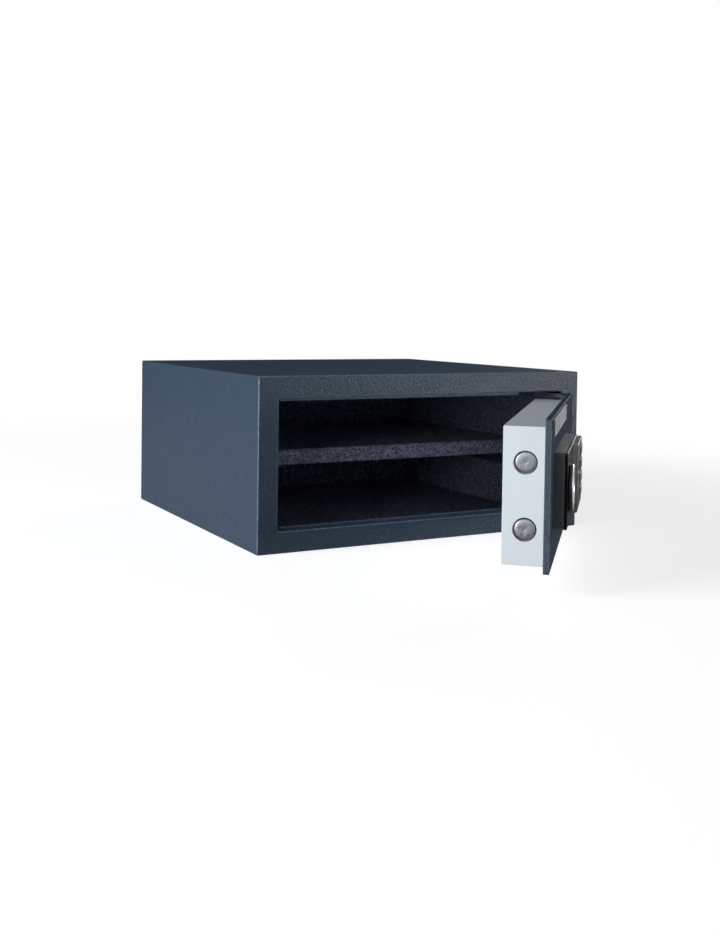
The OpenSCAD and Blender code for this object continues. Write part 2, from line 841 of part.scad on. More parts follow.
// Ring and back of the knob
module knob_grip() {
    back_d = fascia_d - knob_gap;
    color([0.06, 0.07, 0.08]) on_door() difference() {
        bar_y(knob_x, mid_z, fascia_d - knob_t, back_d, knob_d / 2);
        bar_y(knob_x, mid_z, fascia_d - knob_t - cut, fascia_d - knob_t - cap_lip + cap_t,
            knob_d / 2 - knob_rim);
        bar_y(knob_x, mid_z, fascia_d - knob_t, back_d + cut, spindle_r);
    }
}

// Bright face of the knob, dished on both sides of a finger bar
module knob_cap() {
    face_d = fascia_d - knob_t - cap_lip;
    color([0.78, 0.79, 0.8]) on_door() difference() {
        bar_y(knob_x, mid_z, face_d, face_d + cap_t, knob_d / 2 - knob_rim);
        difference() {
            bar_y(knob_x, mid_z, face_d - cut, face_d + scoop_depth, scoop_r);
            block(knob_x - grip_half, knob_x + grip_half, face_d - cut, face_d + cap_t,
                mid_z - knob_d, mid_z + knob_d);
        }
    }
}

module knob_spindle() {
    color([0.7, 0.71, 0.72]) on_door() {
        bar_y(knob_x, mid_z, fascia_d - knob_t - cap_lip + cap_t, plate_t + carriage_gap / 2,
            spindle_r);
        bar_y(knob_x, mid_z, plate_t + carriage_gap / 2,
            web_d1 + cam_gap + cam_t + spindle_proud, spindle_end_r);
    }
}

// Disc on the shaft with a pin that pushes the carriage
module drive_cam() {
    cam_d = web_d1 + cam_gap;
    color([0.6, 0.6, 0.62]) on_door() {
        difference() {
            bar_y(knob_x, mid_z, cam_d, cam_d + cam_t, crank_r + cam_rim);
            bar_y(knob_x, mid_z, cam_d - cut, cam_d + cam_t + cut, spindle_end_r);
        }
        bar_y(knob_x + bolt_throw / 2, mid_z + crank_up, web_d0 - pin_proud, cam_d,
            cam_pin_d / 2);
    }
}

module module_housing() {
    color([0.07, 0.08, 0.09]) on_door() difference() {
        union() {
            difference() {
                panel(module_x0, module_x1, module_z0, module_z1, -housing_depth, 0, module_r);
                block(module_x0 + housing_wall, module_x1 - housing_wall,
                    -housing_depth - cut, -housing_back, module_z0 + housing_wall,
                    module_z1 - housing_wall);
            }
            at_module_screws(-screw_bite - boss_cap, -housing_back, boss_r);
            for (x = [board_x0 + standoff_in, board_x1 - standoff_in],
                 z = [board_z0 + standoff_in, board_z1 - standoff_in])
                bar_y(x, z, board_d1, -housing_back, standoff_r);
        }
        bar_y(knob_x, mid_z, -housing_back - cut, cut, spindle_r + knob_gap);
        bar_y(keyhole_x, mid_z, -housing_back - cut, cut, barrel_r + screw_hole);
        slot_x(cable_x0, cable_x0 + cable_w, mid_z, cable_r, -housing_back - cut, cut);
        at_module_screws(-screw_bite, cut, screw_r + screw_hole);
    }
}

module module_fascia() {
    color([0.03, 0.035, 0.04]) on_door() difference() {
        panel(module_x0, module_x1, module_z0, module_z1, fascia_d, -housing_depth, module_r);
        bar_y(knob_x, mid_z, fascia_d - cut, -housing_depth + cut, spindle_r + run_gap);
        bar_y(keyhole_x, mid_z, fascia_d - cut, -housing_depth + cut, barrel_r + screw_hole);
        block(board_x0 - board_rim, board_x1 + board_rim, fascia_d - cut, -housing_depth + cut,
            board_z0 - board_rim, board_z1 + board_rim);
    }
}

module module_screws() {
    color([0.66, 0.67, 0.68]) on_door() {
        at_module_screws(plate_t, plate_t + screw_head_t, screw_head_r);
        at_module_screws(-screw_bite, plate_t, screw_r);
    }
}

// The middle of a key, counted along the rows from the top left
function key_x(i) = pod_x1 - key_end - key_w / 2 - key_lip
    - (key_columns - 1 - i % key_columns) * key_pitch_x;
function key_z(i) = mid_z + ((key_rows - 1) / 2 - floor(i / key_columns)) * key_pitch_z;

// The row of lights under the display
module at_lights(d0, d1) {
    for (i = [0:lights - 1]) bar_y(light_x + i * light_pitch, light_z, d0, d1, light_r);
}

// Raised bezel over the keypad, with a ramp towards the knob
module keypad_bezel() {
    color([0.05, 0.055, 0.06]) on_door() difference() {
        translate([0, front_y, pod_z0]) linear_extrude(pod_z1 - pod_z0) polygon([
            [pod_x0, fascia_d], [pod_x0 + pod_ramp, pod_d], [pod_x1 - pod_bevel, pod_d],
            [pod_x1, pod_d + pod_bevel], [pod_x1, fascia_d]
        ]);
        block(board_x0 - board_rim, pod_x1 - pod_rim, pod_d + pod_wall, fascia_d + cut,
            pod_z0 + pod_rim, pod_z1 - pod_rim);
        for (i = [0:len(KEYS) - 1])
            panel(key_x(i) - key_w / 2 - key_gap, key_x(i) + key_w / 2 + key_gap,
                key_z(i) - key_h / 2 - key_gap, key_z(i) + key_h / 2 + key_gap,
                pod_d - cut, pod_d + pod_wall + cut, key_r + key_gap);
        block(window_x, window_x + window_w, pod_d - cut, pod_d + window_t, window_z0, window_z1);
        block(window_x + window_ledge, window_x + window_w - window_ledge, pod_d - cut,
            pod_d + pod_wall + cut, window_z0 + window_ledge, window_z1 - window_ledge);
        at_lights(pod_d - cut, pod_d + pod_wall + cut);
    }
}

module display_window() {
    color([0.1, 0.02, 0.03]) on_door()
        block(window_x, window_x + window_w, pod_d, pod_d + window_t, window_z0, window_z1);
}

module status_lights() {
    color([0.2, 0.5, 0.25]) on_door() at_lights(pod_d - light_proud, pod_d + pod_wall);
}

// Board with a switch under each key and two chips behind
module circuit_board() {
    key_back = pod_d + pod_wall + slide_gap + key_lip_t;
    color([0.1, 0.3, 0.16]) on_door() {
        block(board_x0, board_x1, board_d0, board_d1, board_z0, board_z1);
        for (i = [0:len(KEYS) - 1])
            block(key_x(i) - switch_w / 2, key_x(i) + switch_w / 2,
                key_back + key_travel + key_stop, board_d0,
                key_z(i) - switch_w / 2, key_z(i) + switch_w / 2);
        for (x = [board_x0 + chip_in, board_x0 + chip_in + chip_pitch])
            block(x, x + chip_w, board_d1, board_d1 + chip_t, mid_z - chip_w / 2,
                mid_z + chip_w / 2);
    }
}

module key(i) {
    lip_d = pod_d + pod_wall + slide_gap;
    x = key_x(i);
    z = key_z(i);
    color([0.16, 0.17, 0.18]) on_door() {
        panel(x - key_w / 2, x + key_w / 2, z - key_h / 2, z + key_h / 2,
            pod_d - key_proud, lip_d, key_r);
        panel(x - key_w / 2 - key_lip, x + key_w / 2 + key_lip, z - key_h / 2 - key_lip,
            z + key_h / 2 + key_lip, lip_d, lip_d + key_lip_t, key_r);
    }
}

module battery_tray() {
    color([0.09, 0.1, 0.11]) on_door() difference() {
        block(battery_x - tray_w / 2 - tray_wall, battery_x + tray_w / 2 + tray_wall, tray_d0,
            box_d1 - box_t, mid_z - tray_h / 2 - tray_wall, mid_z + tray_h / 2 + tray_wall);
        block(battery_x - tray_w / 2, battery_x + tray_w / 2, tray_d0 + tray_wall, box_d1,
            mid_z - tray_h / 2, mid_z + tray_h / 2);
    }
}

module batteries() {
    color([0.15, 0.3, 0.5]) on_door() for (side = [-1, 1], row = [-1, 1]) {
        x = battery_x + side * (cell_l + tray_play) / 2;
        z = mid_z + row * (cell_d + tray_play / 2) / 2;
        bar_x(tray_d0 + tray_wall + slide_gap + cell_d / 2, z, x - cell_l / 2, x + cell_l / 2,
            cell_d / 2);
    }
}

// Snap-in lid over the batteries, with a rim that enters the cover
module battery_cover() {
    w = tray_w / 2 - slide_gap;
    h = tray_h / 2 - slide_gap;
    color([0.78, 0.82, 0.84]) on_door() {
        block(battery_x - w - cover_lap, battery_x + w + cover_lap, box_d1 + cover_seat,
            box_d1 + cover_seat + cover_t, mid_z - h - cover_lap, mid_z + h + cover_lap);
        difference() {
            block(battery_x - w, battery_x + w, box_d1 - cover_rim_l, box_d1 + cover_seat,
                mid_z - h, mid_z + h);
            block(battery_x - w + tray_wall, battery_x + w - tray_wall,
                box_d1 - cover_rim_l - cut, box_d1 + cover_seat, mid_z - h + tray_wall,
                mid_z + h - tray_wall);
        }
    }
}

module reset_switch() {
    color([0.1, 0.11, 0.12]) on_door() difference() {
        block(reset_x - switch_body / 2, reset_x + switch_body / 2,
            box_d1 - box_t - switch_deep, box_d1 - box_t,
            mid_z - switch_body / 2, mid_z + switch_body / 2);
        bar_y(reset_x, mid_z, box_d1 - box_t - switch_deep / 2, box_d1,
            reset_r + 2 * run_gap);
    }
}

module reset_button() {
    color([0.7, 0.1, 0.08]) on_door()
        bar_y(reset_x, mid_z, box_d1 - box_t - switch_deep / 2 + reset_travel + reset_end,
            box_d1 + reset_proud, reset_r);
}

module badge_plate() {
    x0 = plate_x0 + badge_inset;
    z1 = plate_z1 - badge_rim;
    color([0.75, 0.77, 0.78]) on_door()
        panel(x0, x0 + badge_w, z1 - badge_h, z1, -badge_t, 0, badge_r);
}

module keyhole_barrel() {
    color([0.7, 0.7, 0.68]) on_door() difference() {
        bar_y(keyhole_x, mid_z, fascia_d + barrel_sink, plate_t + barrel_back, barrel_r);
        bar_y(keyhole_x, mid_z, fascia_d - cut, core_d0, cap_plug_r + slide_gap);
        bar_y(keyhole_x, mid_z, fascia_d, plate_t + barrel_back + cut, core_r + run_gap);
    }
}

// Turning core with its key slot and the cam at its back
module keyhole_core() {
    cam_d = plate_t + barrel_back + core_cam_gap;
    color([0.78, 0.72, 0.5]) on_door() difference() {
        union() {
            bar_y(keyhole_x, mid_z, core_d0, cam_d + core_cam_t, core_r);
            block(keyhole_x, keyhole_x + core_cam_l, cam_d, cam_d + core_cam_t,
                mid_z - core_cam_w / 2, mid_z + core_cam_w / 2);
        }
        block(keyhole_x - key_slot_w / 2, keyhole_x + key_slot_w / 2, core_d0 - cut,
            core_d0 + key_slot_depth, mid_z - key_slot_h / 2, mid_z + key_slot_h / 2);
    }
}

// Round plug that hides the keyhole
module keyhole_cap() {
    color([0.06, 0.065, 0.07]) on_door() {
        bar_y(keyhole_x, mid_z, fascia_d - cap_seat - cap_disc_t, fascia_d - cap_seat, cap_r);
        bar_y(keyhole_x, mid_z, fascia_d - cap_seat, fascia_d + barrel_sink + cap_plug_l,
            cap_plug_r);
    }
}

shell_wrap();
back_panel();
front_frame();
door_stops();
hinge_lugs();
hinge_bushes();
lining_floor();
lining_left();
lining_right();
lining_back();
lining_top();
shelf_board();
shelf_felt();
shelf_ledges();
shelf_screws();
door_plate();
hinge_arms();
hinge_pins();
door_box();
box_posts();
box_screws();
bolt_guide();
guide_posts();
solenoid();
module_housing();
module_fascia();
module_screws();
keypad_bezel();
display_window();
status_lights();
circuit_board();
battery_tray();
batteries();
reset_switch();
badge_plate();
keyhole_barrel();
knob_grip();
knob_cap();
knob_spindle();
drive_cam();
live_bolts();
bolt_carriage();
solenoid_plunger();
plunger_spring();
keyhole_core();
keyhole_cap();
battery_cover();
reset_button();
for (i = [0:len(KEYS) - 1]) key(i);
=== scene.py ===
import math

import bmesh
import bpy
import numpy as np
from mathutils import Matrix, Vector


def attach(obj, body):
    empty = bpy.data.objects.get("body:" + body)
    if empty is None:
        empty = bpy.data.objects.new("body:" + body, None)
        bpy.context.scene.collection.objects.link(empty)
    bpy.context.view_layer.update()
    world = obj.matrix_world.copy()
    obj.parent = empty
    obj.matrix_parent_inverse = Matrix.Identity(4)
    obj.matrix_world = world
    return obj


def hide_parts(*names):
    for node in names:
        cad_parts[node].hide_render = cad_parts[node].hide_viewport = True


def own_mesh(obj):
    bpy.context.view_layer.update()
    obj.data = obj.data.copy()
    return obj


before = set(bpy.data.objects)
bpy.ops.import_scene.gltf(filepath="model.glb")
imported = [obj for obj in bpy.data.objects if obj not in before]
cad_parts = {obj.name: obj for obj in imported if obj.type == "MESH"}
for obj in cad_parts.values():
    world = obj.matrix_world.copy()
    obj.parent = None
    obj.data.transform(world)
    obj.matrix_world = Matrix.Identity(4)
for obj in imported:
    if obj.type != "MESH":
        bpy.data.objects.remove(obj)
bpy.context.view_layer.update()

# Body: wrapped steel sheet, back sheet and front sheet, welded into one shell.
# The front sheet is bent inwards round the opening. All of it is powder coated
# after welding, in a dark blue with a pebbled skin; the rolled edges take a paler
# blue, partly wear and partly a painted highlight.
mm = 0.001
front_y = -207.5


def finish(name, colour, rough, metal=0.0, **more):
    """A new node material, with its even values on the shader's own sockets."""
    m = bpy.data.materials.new(name)
    m.use_nodes = True
    shader = m.node_tree.nodes["Principled BSDF"]
    shader.inputs["Base Color"].default_value = (*colour, 1)
    shader.inputs["Roughness"].default_value = rough
    shader.inputs["Metallic"].default_value = metal
    for socket, value in more.items():
        shader.inputs[socket.replace("_", " ")].default_value = value
    return m


def put(m, kind, values, **settings):
    """Adds one shader node. A value that is a socket is linked, any other is set."""
    n = m.node_tree.nodes.new("ShaderNode" + kind)
    for key, value in settings.items():
        setattr(n, key, value)
    for key, value in values.items():
        if isinstance(value, bpy.types.NodeSocket):
            m.node_tree.links.new(value, n.inputs[key])
        else:
            n.inputs[key].default_value = value
    return n


def reckon(m, kind, *values):
    """One number that a Math node of this kind works out from one to three others."""
    return put(m, "Math", dict(enumerate(values)), operation=kind).outputs[0]


def feed(m, **sources):
    """Links sources to the shader's sockets."""
    shader = m.node_tree.nodes["Principled BSDF"]
    for socket, source in sources.items():
        m.node_tree.links.new(source, shader.inputs[socket.replace("_", " ")])


def spread(m, at, scale, detail=3.0, rough=0.5, bend=0.0):
    """Noise from 0 to 1 with about scale lumps in a metre."""
    return put(m, "TexNoise", {"Vector": at, "Scale": scale, "Detail": detail,
                               "Roughness": rough, "Distortion": bend}).outputs["Fac"]


def between(m, source, low, high, start=0.3, end=0.7):
    """Maps source, from start to end, onto low to high."""
    return put(m, "MapRange", {"Value": source, "From Min": start, "From Max": end,
                               "To Min": low, "To Max": high}).outputs["Result"]


def blend(m, share, first, second):
    """Mixes two colours, each a socket or three numbers, by share."""
    n = put(m, "Mix", {}, data_type="RGBA")
    for socket, value in ((n.inputs[0], share), (n.inputs[6], first), (n.inputs[7], second)):
        if isinstance(value, bpy.types.NodeSocket):
            m.node_tree.links.new(value, socket)
        else:
            socket.default_value = value if socket == n.inputs[0] else (*value, 1)
    return n.outputs[2]


def relief(m, height, depth):
    """A bump whose highest points stand depth millimetres above its lowest."""
    bump = put(m, "Bump", {"Height": height, "Distance": depth * mm, "Strength": 1.0})
    return bump.outputs["Normal"]


def powder_coat(name, colour, rough=0.2, shine=0.28, pebble=2.9, depth=0.25, wear=0.0):
    """Pebbled paint: round cells with finer grain between them and broader lumps below, flatter and
    duller on level faces, cell middles painted paler as a painted highlight and cell borders darker
    as painted shade, slow change of tone over a panel, and where wear is above 0, patches rubbed
    paler."""
    m = finish(name, colour, rough, Specular_IOR_Level=shine)
    coords = put(m, "TexCoord", {})
    at = coords.outputs["Object"]
    tilt = put(m, "SeparateXYZ", {"Vector": coords.outputs["Normal"]}).outputs["Z"]
    level = reckon(m, "ABSOLUTE", tilt)
    cells = put(m, "TexVoronoi", {"Vector": at, "Scale": 1000 / pebble, "Smoothness": 0.6},
                feature="SMOOTH_F1").outputs["Distance"]
    grain = spread(m, at, 1400, 2)
    lumps = spread(m, at, 230, 2)
    skin_height = reckon(m, "MULTIPLY_ADD", lumps, 0.7, reckon(m, "ADD", cells, grain))
    flowed = reckon(m, "MULTIPLY", skin_height, between(m, level, 1.0, 0.4, 0, 1))
    # Painted highlight on the pebble tops and painted shade in the pits between them.
    pit_shade = between(m, cells, 0.0, 1.0, 0.1, 0.75)
    pale = tuple(min(1.0, c * 1.24 + 0.004) for c in colour)
    deep = tuple(c * 0.82 for c in colour)
    pebble_highlight_and_shade = blend(m, pit_shade, pale, deep)
    slow = between(m, spread(m, at, 5, 4, 0.6), 0.0, 1.0)
    toned = blend(m, slow, pebble_highlight_and_shade, tuple(c * 0.97 for c in colour))
    if wear:
        rubbed = between(m, spread(m, at, 160, 5, 0.65), 0.0, wear, 0.42, 0.62)
        toned = blend(m, rubbed, toned, tuple(min(1.0, c * 2.1 + 0.02) for c in colour))
    patchy = between(m, slow, rough + 0.04, rough - 0.04, 0, 1)
    dulled = reckon(m, "MULTIPLY_ADD", level, 0.25, patchy)
    feed(m, Base_Color=toned, Roughness=dulled, Normal=relief(m, flowed, depth),
         Specular_IOR_Level=between(m, level, shine, shine * 0.2, 0.3, 0.9))
    return m


def plain_copy(node):
    """A copy of a CAD node's mesh, its loose triangles merged and its flat faces made whole."""
    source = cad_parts[node].data
    co = np.empty(len(source.vertices) * 3, np.float32)
    source.vertices.foreach_get("co", co)
    corners = np.empty(len(source.loops), np.int32)
    source.loops.foreach_get("vertex_index", corners)
    mesh = bpy.data.meshes.new("copy_" + node)
    mesh.from_pydata(co.reshape(-1, 3).tolist(), [], corners.reshape(-1, 3).tolist())
    tidy_faces(mesh)
    return mesh


def tidy_faces(mesh, cuts=()):
    """Merges doubled points and dissolves the edges inside flat faces. Each cut is an axis and a
    distance in millimetres: a plane that parts the faces through the middle of their holes."""
    net = bmesh.new()
    net.from_mesh(mesh)
    bmesh.ops.remove_doubles(net, verts=net.verts, dist=2e-6)
    for axis, distance in cuts:
        across = [float(k == axis) for k in range(3)]
        on_plane = [c * distance * mm for c in across]
        parted = bmesh.ops.bisect_plane(net, geom=net.verts[:] + net.edges[:] + net.faces[:],
                                        plane_co=on_plane, plane_no=across)
        for line in parted["geom_cut"]:
            if isinstance(line, bmesh.types.BMEdge):
                line.seam = True
    bmesh.ops.dissolve_limit(net, angle_limit=math.radians(0.4), verts=net.verts, edges=net.edges,
                             delimit={"SEAM"})
    net.to_mesh(mesh)
    net.free()


def shown(name, mesh, body, materials, replaced=(), crease=32):
    """Puts a mesh into the scene as a piece that rides on body, in place of the replaced nodes."""
    piece = bpy.data.objects.new(name, mesh)
    bpy.context.scene.collection.objects.link(piece)
    for m in materials:
        mesh.materials.append(m)
    mesh.shade_smooth()
    mesh.set_sharp_from_angle(angle=math.radians(crease))
    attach(piece, body)
    if replaced:
        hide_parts(*replaced)
    return piece


def mark_outlines(mesh, least):
    """Gives bevel weight to the sharp edges of every outline at least this many millimetres wide.
    Edges that share points are one outline: each point takes the lowest number it is joined to."""
    ends = np.empty(len(mesh.edges) * 2, np.int32)
    mesh.edges.foreach_get("vertices", ends)
    ends = ends.reshape(-1, 2)
    co = np.empty(len(mesh.vertices) * 3)
    mesh.vertices.foreach_get("co", co)
    co = co.reshape(-1, 3)
    sharp = np.zeros(len(ends), bool)
    mesh.attributes["sharp_edge"].data.foreach_get("value", sharp)
    a, b = ends[sharp].T
    outline = np.arange(len(co))
    while (outline[a] != outline[b]).any():
        lowest = np.minimum(outline[a], outline[b])
        np.minimum.at(outline, a, lowest)
        np.minimum.at(outline, b, lowest)
        outline = outline[outline]
    low, high = np.full(co.shape, np.inf), np.full(co.shape, -np.inf)
    np.minimum.at(low, outline, co)
    np.maximum.at(high, outline, co)
    wide = (high - low).max(axis=1) >= least * mm
    weights = (sharp & wide[outline[ends[:, 0]]]).astype(np.float32)
    mesh.attributes.new("bevel_weight_edge", "FLOAT", "EDGE").data.foreach_set("value", weights)


def eased(piece, edge, steps=2, rim=0, least=0, clamp=False):
    """Rolls a piece's sharp edges over by edge millimetres, and leaves outlines narrower than least
    millimetres crisp; rim is the material slot that the rolled edges take, and clamp thins the
    roll where short edges would cross."""
    mark_outlines(piece.data, least)
    bevel = piece.modifiers.new("eased_edges", "BEVEL")
    bevel.width = edge * mm
    bevel.segments = steps
    bevel.limit_method = "WEIGHT"
    bevel.harden_normals = True
    bevel.use_clamp_overlap = clamp
    bevel.material = rim
    return piece


def welded(nodes, cuts):
    """One mesh from the solids of several nodes, joined where they touch and parted at the cuts."""
    parts = []
    for node in nodes:
        part = bpy.data.objects.new("weld_" + node, plain_copy(node))
        bpy.context.scene.collection.objects.link(part)
        parts.append(part)
    for other in parts[1:]:
        joint = parts[0].modifiers.new("weld", "BOOLEAN")
        joint.operation = "UNION"
        joint.solver = "EXACT"
        joint.object = other
    bpy.context.view_layer.update()
    seen = parts[0].evaluated_get(bpy.context.evaluated_depsgraph_get())
    mesh = bpy.data.meshes.new_from_object(seen)
    for part in parts:
        bpy.data.objects.remove(part)
    tidy_faces(mesh, cuts)
    return mesh


navy = (0.048, 0.075, 0.115)
body_coat = powder_coat("blue_powder_coat", navy)
# Painted highlight: the rolled edges take a paler copy of the blue, with worn patches on it.
edge_wear_and_highlight_navy = tuple(c * 1.8 for c in navy)
body_edge = powder_coat("blue_powder_coat_edge_wear_and_highlight", edge_wear_and_highlight_navy, 0.3, 0.4, wear=0.6)
anchor_x, bolt_rows = 150, (68.25, 131.75)
hole_rows = [(0, -anchor_x), (0, anchor_x), (2, bolt_rows[0]), (2, bolt_rows[1])]
sheets = ["shell_wrap", "front_frame", "back_panel"]
body_shell = shown("body_shell", welded(sheets, hole_rows), "cabinet",
                   [body_coat, body_edge], sheets)
eased(body_shell, 1.2, 3, rim=1, least=30)


# Stops, hinge lugs and shelf angles: flat bar and folded sheet, spot welded inside
# the body and coated with it. A sintered bronze bush is pressed into each lug.
def recut(name, node, body, materials):
    """A piece with the shape of one CAD node, in place of that node."""
    return shown(name, plain_copy(node), body, materials, [node])


for node, slot, edge in (("door_stops", "frame_paint", 0.5), ("hinge_lugs", "hinge_paint", 0.6),
                         ("shelf_ledges", "body_paint", 0.4)):
    eased(recut("coated_" + node, node, "cabinet", [body_coat, body_edge]), edge, 2, rim=1)


def metal(name, colour, rough, stretch=(1, 1, 1), fine=900, depth=0.006, spot=0.75, turn=0.0):
    """Bare or plated metal: fine marks drawn out along one way, and dull spots in the shine."""
    m = finish(name, colour, rough, 1.0)
    at = put(m, "TexCoord", {}).outputs["Object"]
    drawn = put(m, "Mapping", {"Vector": at, "Rotation": (0, 0, turn), "Scale": stretch}).outputs[0]
    marks = spread(m, drawn, fine, 4, 0.6)
    dull = spread(m, at, 60, 5, 0.6)
    spotted = tuple(c * spot for c in colour)
    toned = blend(m, between(m, dull, 0.0, 1.0, 0.35, 0.65), colour, spotted)
    streaked = blend(m, between(m, marks, 0.0, 0.5), toned, tuple(min(1, c * 1.2) for c in colour))
    feed(m, Base_Color=streaked, Roughness=between(m, dull, rough - 0.06, rough + 0.12),
         Normal=relief(m, marks, depth))
    return m


bronze = metal("sintered_bronze", (0.50, 0.33, 0.14), 0.42, fine=1500, depth=0.02)
eased(recut("lug_bushes", "hinge_bushes", "cabinet", [bronze]), 0.2)


# Lining: pressed polyester felt, 2.5 mm thick, glued to the floor, sides, back and
# top, cut out round the anchor holes and the shelf angles.
def felt(name, dark, light, fleck):
    """Felt: tufts of matted fibre, each of its own tone from dark to pale, frayed by long thin
    fibres that cross each other, with a soft nap and a sheen at a low angle."""
    m = finish(name, dark, 0.95, Specular_IOR_Level=0.12, Sheen_Weight=0.2, Sheen_Roughness=0.55)
    at = put(m, "TexCoord", {}).outputs["Object"]
    nap = put(m, "TexNoise", {"Vector": at, "Scale": 620.0, "Detail": 5.0, "Roughness": 0.72})
    strayed = put(m, "VectorMath", {0: nap.outputs["Color"], 1: (0.0034, 0.0034, 0.0034), 2: at},
                  operation="MULTIPLY_ADD").outputs[0]
    tufts = put(m, "TexVoronoi", {"Vector": strayed, "Scale": 760.0})
    tone = put(m, "SeparateColor", {"Color": tufts.outputs["Color"]}).outputs[0]
    ways = [put(m, "Mapping", {"Vector": strayed, "Rotation": turn, "Scale": (1, 11, 11)})
            for turn in ((0.5, 0.7, 0.4), (1.9, -0.6, 2.2))]
    fibres = reckon(m, "MAXIMUM", *[spread(m, way.outputs[0], 330, 3) for way in ways])
    loose = between(m, fibres, -0.26, 0.26, 0.42, 0.72)
    frayed = reckon(m, "ADD", tone, loose)
    mat = spread(m, at, 120, 5, 0.6)
    cloth = blend(m, between(m, frayed, 0.0, 1.0, 0.05, 0.8), dark, light)
    pale = between(m, frayed, 0.0, 1.0, 0.72, 1.0)
    worn = blend(m, between(m, mat, 0.0, 0.4, 0.35, 0.65), blend(m, pale, cloth, fleck), dark)
    feed(m, Base_Color=worn, Normal=relief(m, reckon(m, "ADD", fibres, frayed), 0.5))
    return m


grey_felt = felt("grey_felt", (0.036, 0.050, 0.110), (0.230, 0.290, 0.500), (0.58, 0.66, 0.92))
for node in ("lining_floor", "lining_left", "lining_right", "lining_back", "lining_top"):
    eased(recut("felt_" + node, node, "cabinet", [grey_felt]), 0.7, 2)


# Shelf: a fibreboard wrapped in the same felt, laid on the angles and held by four
# zinc screws from below. The felt rounds the board's edges and is a little uneven.
def standing(p):
    """Places in millimetres, as width, depth behind the front and height, to frame metres."""
    return np.stack([p[..., 0], p[..., 1] + front_y, p[..., 2]], -1) * mm


def ring(a0, a1, b0, b1, r, corner=6, side=10):
    """Places round a rectangle with round corners; the last place is the first again."""
    turn = np.linspace(0, np.pi / 2, corner + 1)
    middles = ((a1 - r, b1 - r), (a0 + r, b1 - r), (a0 + r, b0 + r), (a1 - r, b0 + r))
    bends = [turn + k * np.pi / 2 for k in range(4)]
    arcs = [np.stack([a + r * np.cos(bend), b + r * np.sin(bend)], -1)
            for (a, b), bend in zip(middles, bends)]
    step = np.linspace(0, 1, side + 1)[1:-1, None]
    runs = [arcs[k][-1] + step * (arcs[(k + 1) % 4][0] - arcs[k][-1]) for k in range(4)]
    round_trip = [part for k in range(4) for part in (arcs[k], runs[k])]
    return np.concatenate(round_trip + [arcs[0][:1]])


def slab(a0, a1, b0, b1, r, steps, face=None, side=10, rows=8):
    """A plate as one grid. Its outline is drawn in by each step's inset at each step's depth, and
    at both ends the outline shrinks to its middle; face adds a depth to the first end by place."""
    rings = np.stack([ring(a0 + i, a1 - i, b0 + i, b1 - i, max(r - i, 0.02), side=side)
                      for i, _ in steps])
    depths = np.repeat(np.array([d for _, d in steps], float)[:, None], rings.shape[1], 1)
    middle = np.array([(a0 + a1) / 2, (b0 + b1) / 2])
    shrink = np.linspace(0, 1, rows)[:-1, None, None]
    first = middle + shrink * (rings[0] - middle)
    last = (middle + shrink * (rings[-1] - middle))[::-1]
    grid = np.concatenate([first, rings, last])
    deep = np.concatenate([np.repeat(depths[:1], rows - 1, 0), depths,
                           np.repeat(depths[-1:], rows - 1, 0)])
    if face:
        deep[:rows] += face(grid[:rows, :, 0], grid[:rows, :, 1])
    return np.stack([grid[..., 0], deep, grid[..., 1]], -1)


def skin(name, patches, place, tones=None):
    """A closed mesh from grids of places in millimetres. Four neighbours make a face, meeting rims
    are merged, faces point outwards, and the UV map holds the lengths along each grid."""
    points, faces, lengths, tone, start = [], [], [], [], 0
    for k, patch in enumerate(patches):
        rows, cols = patch.shape[:2]
        number = start + np.arange(rows * cols).reshape(rows, cols)
        faces.append(np.stack([number[:-1, :-1], number[:-1, 1:], number[1:, 1:], number[1:, :-1]],
                              -1).reshape(-1, 4))
        across = np.linalg.norm(np.diff(patch, axis=1), axis=2).max(0)
        along = np.linalg.norm(np.diff(patch, axis=0), axis=2).max(1)
        u = np.broadcast_to(np.r_[0, np.cumsum(across)][None, :], (rows, cols))
        v = np.broadcast_to(np.r_[0, np.cumsum(along)][:, None], (rows, cols))
        lengths.append(np.stack([u, v], -1).reshape(-1, 2))
        points.append(place(patch.reshape(-1, 3)))
        tone.append(np.full(len(faces[-1]), tones[k] if tones else 0))
        start += rows * cols
    mesh = bpy.data.meshes.new(name)
    faces = np.concatenate(faces)
    mesh.from_pydata(np.concatenate(points).tolist(), [], faces.tolist())
    uv = (np.concatenate(lengths) * mm)[faces.ravel()]
    mesh.uv_layers.new(name="UVMap").data.foreach_set("uv", uv.ravel())
    mesh.polygons.foreach_set("material_index", np.concatenate(tone))
    net = bmesh.new()
    net.from_mesh(mesh)
    bmesh.ops.remove_doubles(net, verts=net.verts, dist=1e-6)
    bmesh.ops.dissolve_degenerate(net, edges=net.edges, dist=1e-8)
    if net.calc_volume(signed=True) < 0:
        bmesh.ops.reverse_faces(net, faces=net.faces)
    net.to_mesh(mesh)
    net.free()
    return mesh


def formed(name, patches, place, body, materials, replaced=(), crease=32, tones=None):
    """A piece made from grids of places."""
    return shown(name, skin(name, patches, place, tones), body, materials, replaced, crease)


def uneven(p, cell, seed):
    """Smooth random height from 0 to 1 at each place: random numbers on a lattice with this cell,
    eased between the eight nearest lattice corners."""
    table = np.random.default_rng(seed).random((64, 64, 64))
    q = p / cell
    low = np.floor(q).astype(int)
    t = q - low
    t = t * t * (3 - 2 * t)
    total = np.zeros(len(p))
    for i, j, k in np.ndindex(2, 2, 2):
        share = (np.where(i, t[:, 0], 1 - t[:, 0]) * np.where(j, t[:, 1], 1 - t[:, 1])
                 * np.where(k, t[:, 2], 1 - t[:, 2]))
        total += share * table[(low[:, 0] + i) % 64, (low[:, 1] + j) % 64, (low[:, 2] + k) % 64]
    return total


